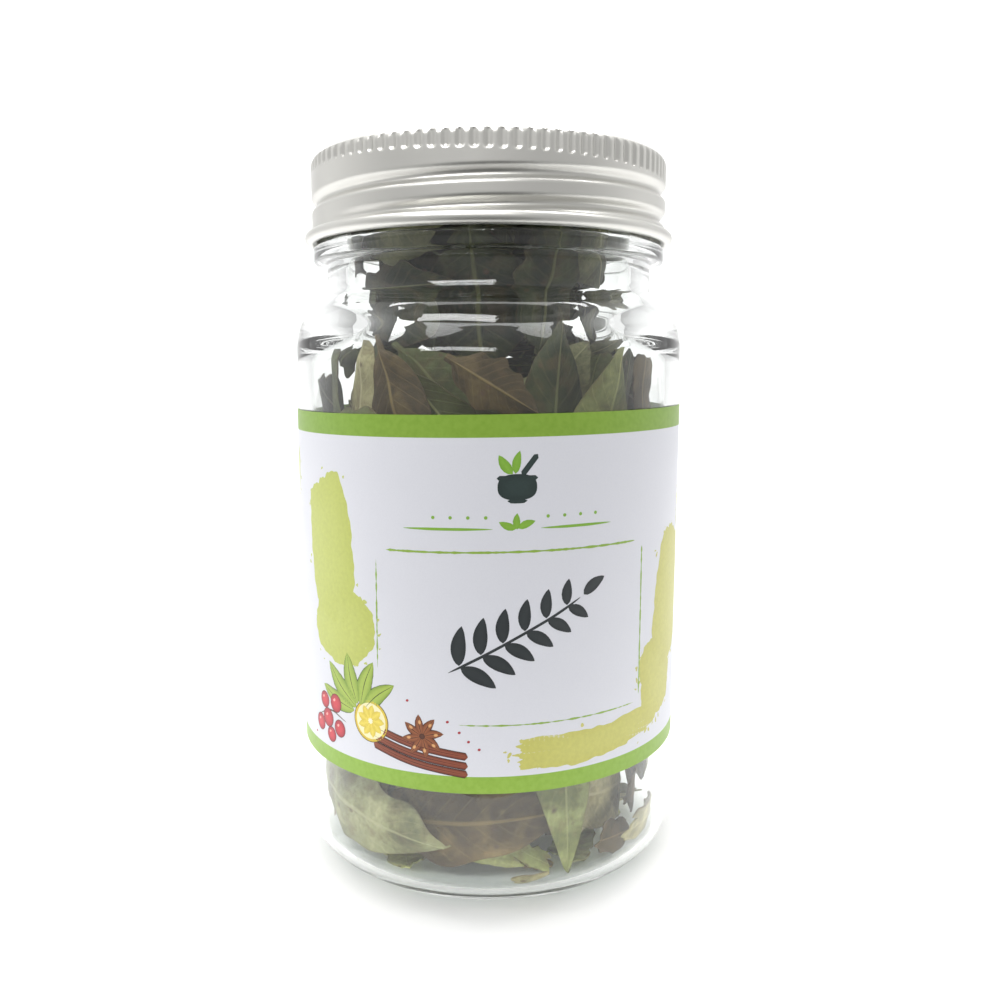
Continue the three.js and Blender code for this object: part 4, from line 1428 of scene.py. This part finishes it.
@dataclass
class LeafFill:
    """The loose fill: the modelled leaves one for one, then smaller ones and broken bits."""

    jar: GlassJar
    leaf_count: int = 48
    front_half: float = 84.0  # degrees each side where the leaves of FRONT are kept in view
    share_at_wall: float = 0.62
    fill_top: float = 112.5
    seed: int = 20817
    detail_seed: int = 5119
    leaf_thickness: float = 0.26
    cell: float = 0.55
    near_axis: float = 14.0  # what lies closer to the axis than this hides no gap
    side_turn: float = 40.0  # greatest azimuth that a side bit is turned to face
    sides: Point = (55.0, 85.0)  # azimuths where the side bits lie, to the left and the right
    first_gap: float = 0.6  # a bit's least distance from the glass
    bit_step: float = 0.35  # how far it moves inwards between two tries
    clear_half: float = 50.0  # azimuth up to which nothing may hide a leaf of FRONT
    clear_below: float = 90.0  # height up to which that holds
    stray: float = 1.5  # mm that a leaf's box may differ from its node's
    wall_gap: float = 1.0  # a leaf's least distance from the glass
    wall_step: float = 0.5  # how far it moves inwards between two tries
    least_bend: float = 21.0
    placed: list[Leaf] = field(default_factory=list)

    # The cup, twist and wave of drying.
    DRYING = {"cup": (-0.4, 1.6), "twist": (-0.006, 0.006), "wave": (0.2, 0.7), "phase": (0.0, 1.0)}

    # Leaves that show above and below the label: azimuth from the front, height, turn of the
    # long axis, lean towards the axis, length, width and tone.
    FRONT = (
        (24, 23.3, -88, 0, 37, 12, Tone.OLIVE),
        (-9, 13.4, 4, 0, 36, 17.5, Tone.BROWN),
        (-50, 13.6, -10, 0, 36, 17.5, Tone.GREY),
        (58, 13.0, -10, 0, 32, 15, Tone.TAN),
        (40, 21, 78, 2, 30, 13, Tone.DARK),
        (-88, 15.5, 30, 0, 34, 16, Tone.TAN),
        (92, 15.5, -24, 0, 34, 16, Tone.GREY),
        (-5, 95.0, -86, 17, 26, 17, Tone.DARK),
        (1, 82.2, -32, 1, 15.5, 9, Tone.BROWN),
        (-30, 76.3, -76, 4, 29, 12.5, Tone.BROWN),
        (-55, 78.5, 80, 4, 26, 12.5, Tone.TAN),
        (-43, 72.6, 14, 1, 22, 14, Tone.OLIVE),
        (-14, 75.5, -50, 3, 26, 10.5, Tone.OLIVE),
        (23, 77, 88, 4, 30, 13, Tone.DARK),
        (39, 74.5, 80, 3, 28, 12.5, Tone.OLIVE),
        (58, 76, 76, 3, 30, 13, Tone.DARK),
        (80, 76.5, -80, 3, 30, 13.5, Tone.TAN),
        (-77, 76, 80, 3, 30, 13.5, Tone.DARK),
        (-33, 98.5, 84, 8, 22, 13, Tone.DARK),
        (25, 98.5, 84, 8, 22, 13, Tone.DARK),
    )

    def __post_init__(self) -> None:
        """Starts the two series of draws."""
        self.draw = Draws(self.seed)
        self.detail = Draws(self.detail_seed)

    def drawn(self, **limits: Point) -> dict[str, float]:
        """Draws each measure of a leaf's form between its limits, one after another."""
        return {measure: self.draw(*pair) for measure, pair in limits.items()}

    def tone_for(self, value: float) -> Tone:
        """Returns the tone for a draw from 0 to 1."""
        limits = (0.34, 0.6, 0.78, 0.92)
        return next((tone for limit, tone in zip(limits, Tone) if value < limit), Tone.TAN)

    def fits(self, leaf: Leaf) -> bool:
        """True if a leaf clears the jar and the leaves already in."""
        return leaf.inside(self.jar, self.fill_top) and leaf.free_among(self.placed)

    def settle_at_wall(self, form: dict, deepest: float) -> Leaf | None:
        """Slides a leaf from the glass towards the axis until it fits."""
        for depth in np.arange(self.wall_gap, deepest + 0.01, self.wall_step):
            radius = float(self.jar.room_radius(form["height"])) - float(depth)
            leaf = Leaf(**form, radius=radius, bend_radius=max(radius, self.least_bend))
            if self.fits(leaf):
                return leaf
        return None

    def draw_wall_leaf(self) -> Leaf | None:
        """Draws a leaf that lies against the glass, and returns it if it fits."""
        azimuth = self.draw(-180.0, 180.0)
        heights = (34.0, 58.0) if abs(azimuth) < self.front_half else (14.0, 100.0)
        form = self.drawn(
            height=heights, turn=(-90.0, 90.0), lean=(-6.0, 6.0), length=(27.0, 39.0),
            width=(12.0, 17.0), **self.DRYING,
        )
        tone = self.tone_for(self.draw(0.0, 1.0))
        return self.settle_at_wall(form | {"azimuth": azimuth, "tone": tone}, 6.0)

    def draw_inner_leaf(self) -> Leaf | None:
        """Draws a leaf that lies anywhere in the fill, and returns it if it fits."""
        form = self.drawn(
            azimuth=(-180.0, 180.0), height=(12.0, 104.0), turn=(-90.0, 90.0),
            lean=(-70.0, 70.0), length=(26.0, 36.0), width=(11.0, 16.0), radius=(0.0, 21.0),
            bend_radius=(20.0, 40.0), **self.DRYING,
        )
        sign = -1 if self.draw(0.0, 1.0) < 0.5 else 1
        leaf = Leaf(**form, bend_sign=sign, tone=self.tone_for(self.draw(0.0, 1.0)))
        return leaf if self.fits(leaf) else None

    def place_leaves(self) -> None:
        """Places the modelled leaves, in the same order and by the same draws as the source."""
        names = ("azimuth", "height", "turn", "lean", "length", "width", "tone")
        for row in self.FRONT:
            leaf = self.settle_at_wall(dict(zip(names, row)) | self.drawn(**self.DRYING), 12.0)
            if leaf:
                self.placed.append(leaf)
        at_wall = math.floor((self.leaf_count - len(self.placed)) * self.share_at_wall + 0.5)
        for draw_leaf, count in (
            (self.draw_wall_leaf, len(self.FRONT) + at_wall),
            (self.draw_inner_leaf, self.leaf_count),
        ):
            while len(self.placed) < count:
                leaf = draw_leaf()
                if leaf:
                    self.placed.append(leaf)

    def draw_bit(self, kind: Bits) -> dict:
        """Returns the drawn form of a bit of one kind, without its distance from the axis."""
        draw = self.draw
        height = draw(*kind.heights)
        # Painted light and shade by height: low bits draw lighter tones, where the floor lights
        # them, and bits near the neck draw deeper ones, in the cap's shade.
        painted_low_light = 0.34 * smoothstep(height, 60.0, 18.0) + 0.2 * smoothstep(height, 14.0, 7.0)
        painted_neck_shade = 0.55 * smoothstep(height, 78.0, 94.0)
        # The glass beside it leans in at the shoulder, and the other way at the heel.
        guide = 26.0 * math.exp(-(((height - 92.0) / 8.0) ** 2))
        guide -= 6.0 * smoothstep(height, 14.0, 6.0)
        return {
            "azimuth": draw(-180.0, 180.0),
            "height": height,
            "turn": draw(*kind.turn),
            "lean": draw(*kind.lean) + kind.follow * guide,
            "length": draw(*kind.length),
            "width": draw(*kind.width),
            "cup": draw(0.0, kind.curl),
            "twist": draw(-0.003, 0.003) * kind.curl,
            "wave": draw(0.1, 0.5) * kind.curl,
            "phase": draw(0.0, 1.0),
            # the tone carries the painted light and shade by height
            "tone": self.tone_for(draw(0.0, 1.0) * (1.0 - painted_low_light - painted_neck_shade) + painted_low_light),
            "stalk": 0.08 if kind.whole else 0.0,
            "cut": (0.0, 1.0) if kind.whole else (draw(0.1, 0.3), draw(0.6, 0.85)),
        }

    def set_aside(self, leaf: Leaf, azimuth: float, radius: float) -> None:
        """Moves a leaf to another azimuth without turning it."""
        turn = math.radians(azimuth)
        leaf.outward = np.array([math.sin(turn), -math.cos(turn), 0.0])
        leaf.centre = leaf.outward * radius + [0.0, 0.0, leaf.height]

    def place_bits(self, kind: Bits) -> list[Leaf]:
        """Fills gaps with bits of one kind, as near the glass as they fit, and returns them."""
        laid = []
        for _ in range(kind.tries):
            form = self.draw_bit(kind)
            spot = self.space.spots(np.array(form["height"]), np.array(form["azimuth"]))
            if kind.gaps_only and self.space.hidden[spot]:
                continue
            wall = float(self.jar.room_radius(form["height"])) - self.draw(*kind.core)
            share = form["azimuth"] / 180.0
            if kind.sides_only:
                form["azimuth"] = self.side_turn * share
            leaf = Leaf(**form, radius=wall, bend_radius=max(wall - 2.0, self.least_bend))
            if kind.sides_only:
                low, high = self.sides
                self.set_aside(leaf, math.copysign(low + (high - low) * abs(share), share), wall)
            dense = leaf.dense(self.cell * 0.9)
            depths = np.arange(self.first_gap, min(kind.deepest, wall), self.bit_step)
            shifts = depths[:, None] * leaf.outward
            # A few points rule out most places; all are tried only where those are free.
            sparse = leaf.dense(3.0)[None, :, :] - shifts[:, None, :]
            for shift in shifts[~self.space.blocked(sparse)]:
                moved = dense - shift
                if not self.space.blocked(moved):
                    self.space.take(moved)
                    self.space.hide(moved)
                    leaf.centre = leaf.centre - shift
                    laid.append(leaf)
                    break
            if len(laid) == kind.count:
                break
        log.info("%s: %d of %d", kind.name, len(laid), kind.count)
        return laid

    def build(self) -> list[bpy.types.Object]:
        """Returns the leaves, and the bits joined by tone."""
        finishes = (
            DriedLeaf(Tone.DARK, "2b2f19", "474c2c", "656a41", "878759", painted_light=(0.95, 0.7)),
            DriedLeaf(Tone.GREY, "6c6c4c", "949469", "b3b183", "c0bd92", painted_light=(0.86, 0.5)),
            DriedLeaf(Tone.OLIVE, "626638", "878b56", "a7a96f", "bdbc82", painted_light=(1.5, 0.6)),
            DriedLeaf(Tone.BROWN, "4d3f27", "73603d", "937e53", "ab9462"),
            DriedLeaf(Tone.TAN, "948b66", "b8ae81", "cfc698", "d8cfa5"),
        )
        materials = {finish.tone: finish.material() for finish in finishes}
        self.place_leaves()
        pieces = []
        for index, leaf in enumerate(self.placed, 1):
            piece = leaf.sheet(f"curry_leaf_{index:02d}", self.detail, (18, 44))
            thicken(piece, self.leaf_thickness)
            dress(piece, materials[leaf.tone], 60.0)
            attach(piece, "jar")
            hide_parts(f"leaf_{index:02d}")
            self.check_place(piece, f"leaf_{index:02d}")
            pieces.append(piece)
        self.space = FillSpace(self.jar, self.fill_top, self.cell)
        for index, leaf in enumerate(self.placed):
            dense = leaf.dense(self.cell * 0.9)
            self.space.take(dense)
            self.space.hide(dense[polar(dense)[0] > self.near_axis])
            # No bit lies between the glass and the leaves of FRONT.
            in_view = abs(leaf.azimuth) < self.clear_half and leaf.height < self.clear_below
            if index < len(self.FRONT) and in_view:
                for shift in np.arange(1.0, 12.0, 1.0):
                    self.space.take(dense + leaf.outward * shift)
        for kind in BITS:
            bits = self.place_bits(kind)
            for tone in Tone:
                sheets = [
                    leaf.sheet("bit", self.detail, kind.cells) for leaf in bits if leaf.tone is tone
                ]
                if sheets:
                    piece = joined(f"{kind.name}_{tone.name.lower()}", sheets)
                    thicken(piece, self.leaf_thickness)
                    dress(piece, materials[tone], 60.0)
                    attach(piece, "jar")
                    pieces.append(piece)
        return pieces

    def check_place(self, piece: bpy.types.Object, node: str) -> None:
        """Reports a leaf that has strayed from its node."""
        low, high = (np.array(corner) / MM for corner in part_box(node))
        points = coordinates(piece)
        stray = max(np.abs(points.min(0) - low).max(), np.abs(points.max(0) - high).max())
        if stray > self.stray:
            log.warning("%s: %.2f mm from %s", piece.name, stray, node)


# ---- Studio ------------------------------------------------------------------------------------


@dataclass
class Studio:
    """Pale sweep, white soft light and the camera."""

    camera_distance: float = 168.3
    camera_height: float = 85.1
    pitch_deg: float = 8.12
    focal_px: float = 947.0
    sensor: float = 36.0
    picture: float = 1000.0  # the frame's width in the same pixels as the focal length
    axis_px: float = 488.5  # where the jar's axis stands in it
    glass_bounces: int = 24  # light runs along inside the glass walls for this many turns

    def sweep(self) -> None:
        """Lays the paper under the jar and curves it up behind."""
        front, back, bend, rise, half = 0.075, 0.8, 0.5, 1.2, 1.6
        run = front + back
        arc_length = bend * math.pi / 2.0
        total = run + arc_length + rise

        def place(across: np.ndarray, along: np.ndarray) -> np.ndarray:
            path = along * total - run
            turn = np.clip(path / bend, 0.0, math.pi / 2.0)
            depth = back + np.minimum(path, 0.0) + bend * np.sin(turn)
            height = bend * (1.0 - np.cos(turn)) + np.maximum(path - arc_length, 0.0)
            return np.column_stack([(across - 0.5) * 2.0 * half, depth, height]) / MM

        piece = laid_grid("background_paper", 8, 120, place)
        dress(piece, MattePaperSweep().material())

    def lamp(self, name: str, place: Point3, aim: Point3, size: Point, power: float) -> None:
        """Hangs a softbox.

        Args:
            name: the lamp's name.
            place: where it hangs, in metres.
            aim: the point that it faces.
            size: its width and height in metres.
            power: its power in watts.
        """
        data = bpy.data.lights.new(name, "AREA")
        data.shape = "RECTANGLE"
        data.size, data.size_y = size
        data.energy = power
        lamp = bpy.data.objects.new(name, data)
        bpy.context.scene.collection.objects.link(lamp)
        lamp.location = place
        lamp.rotation_euler = (Vector(aim) - Vector(place)).to_track_quat("-Z", "Y").to_euler()

    def sky(self) -> None:
        """Surrounds the set with white walls, dimmer behind the camera and darkest below it."""
        world = bpy.data.worlds.new("white_studio")
        bpy.context.scene.world = world
        world.use_nodes = True
        world.node_tree.nodes.clear()
        add = partial(add_node, world.node_tree)
        place = add("TexCoord").outputs["Generated"]
        sideways, inward, upward = add("SeparateXYZ", Vector=place).outputs
        aside = add("Math", operation="ABSOLUTE", in_0=sideways)
        # The dark below the camera lies in front, low down and not far to either side.
        depth, narrow, low, near = (
            add("MapRange", Value=value, **dict(zip(LIMITS, limits)))
            for value, *limits in (
                (inward, -0.5, 0.4, 0.52, 1.0),
                (aside, 0.25, 0.6, 0.88, 0.0),
                (upward, -0.3, 0.08, 1.0, 0.0),
                (inward, -0.5, -0.1, 1.0, 0.0),
            )
        )
        dark = add("Math", operation="MULTIPLY", in_0=narrow, in_1=low)
        cut = add("Math", operation="MULTIPLY", in_0=dark, in_1=near)
        left = add("Math", operation="SUBTRACT", in_0=1.0, in_1=cut)
        shade = add("Math", operation="MULTIPLY", in_0=depth, in_1=left)
        seen = add("LightPath").outputs["Is Camera Ray"]
        level = add("Mix", in_0=seen, in_2=shade, in_3=1.0)
        white = add("Background", Color=(1.0, 1.0, 1.0, 1.0), Strength=level)
        add("OutputWorld", Surface=white)

    def camera(self) -> None:
        """Sets up the camera in front of the jar."""
        data = bpy.data.cameras.new("camera")
        data.sensor_width = self.sensor
        data.lens = self.focal_px * self.sensor / self.picture
        data.shift_x = (self.picture / 2.0 - self.axis_px) / self.picture
        data.clip_start = 0.01
        camera = bpy.data.objects.new("camera", data)
        bpy.context.scene.collection.objects.link(camera)
        camera.location = (0.0, -self.camera_distance * MM, self.camera_height * MM)
        camera.rotation_euler = (math.radians(90.0 - self.pitch_deg), 0.0, 0.0)
        bpy.context.scene.camera = camera

    def build(self) -> None:
        """Sets the whole studio up."""
        bpy.context.scene.view_settings.view_transform = "Standard"
        paths = bpy.context.scene.cycles
        paths.max_bounces = paths.glossy_bounces = paths.transmission_bounces = self.glass_bounces
        self.sweep()
        self.sky()
        for name, place, aim, size, power in (
            ("window_pane_0", (-0.16, -0.42, 0.50), (0.0, 0.0, 0.06), (0.44, 0.07), 1.2),
            ("window_pane_1", (-0.16, -0.42, 0.60), (0.0, 0.0, 0.06), (0.44, 0.07), 1.2),
            ("top_softbox", (0.0, 0.1, 0.9), (0.0, 0.0, 0.0), (0.7, 0.5), 4.0),
            ("backdrop_lamp", (0.0, 0.2, 1.3), (0.0, 1.2, 0.35), (1.6, 0.3), 18.0),
        ):
            self.lamp(name, place, aim, size, power)
        self.camera()


# ---- Assembly ----------------------------------------------------------------------------------


def main() -> None:
    """Builds the jar round its frame, piece by piece."""
    logging.basicConfig(level=logging.INFO, format="%(message)s", stream=sys.stdout)
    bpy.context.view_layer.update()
    jar = GlassJar()
    label = PaperLabel()
    for assembly in (jar, ScrewCap(), CapLiner(), label, LabelPrint(label)):
        piece = assembly.build()
        log.info("%s: %d faces", piece.name, len(piece.data.polygons))
    for piece in LeafFill(jar).build():
        log.info("%s: %d faces", piece.name, len(piece.data.polygons))
    Studio().build()


if __name__ == "__main__":
    main()
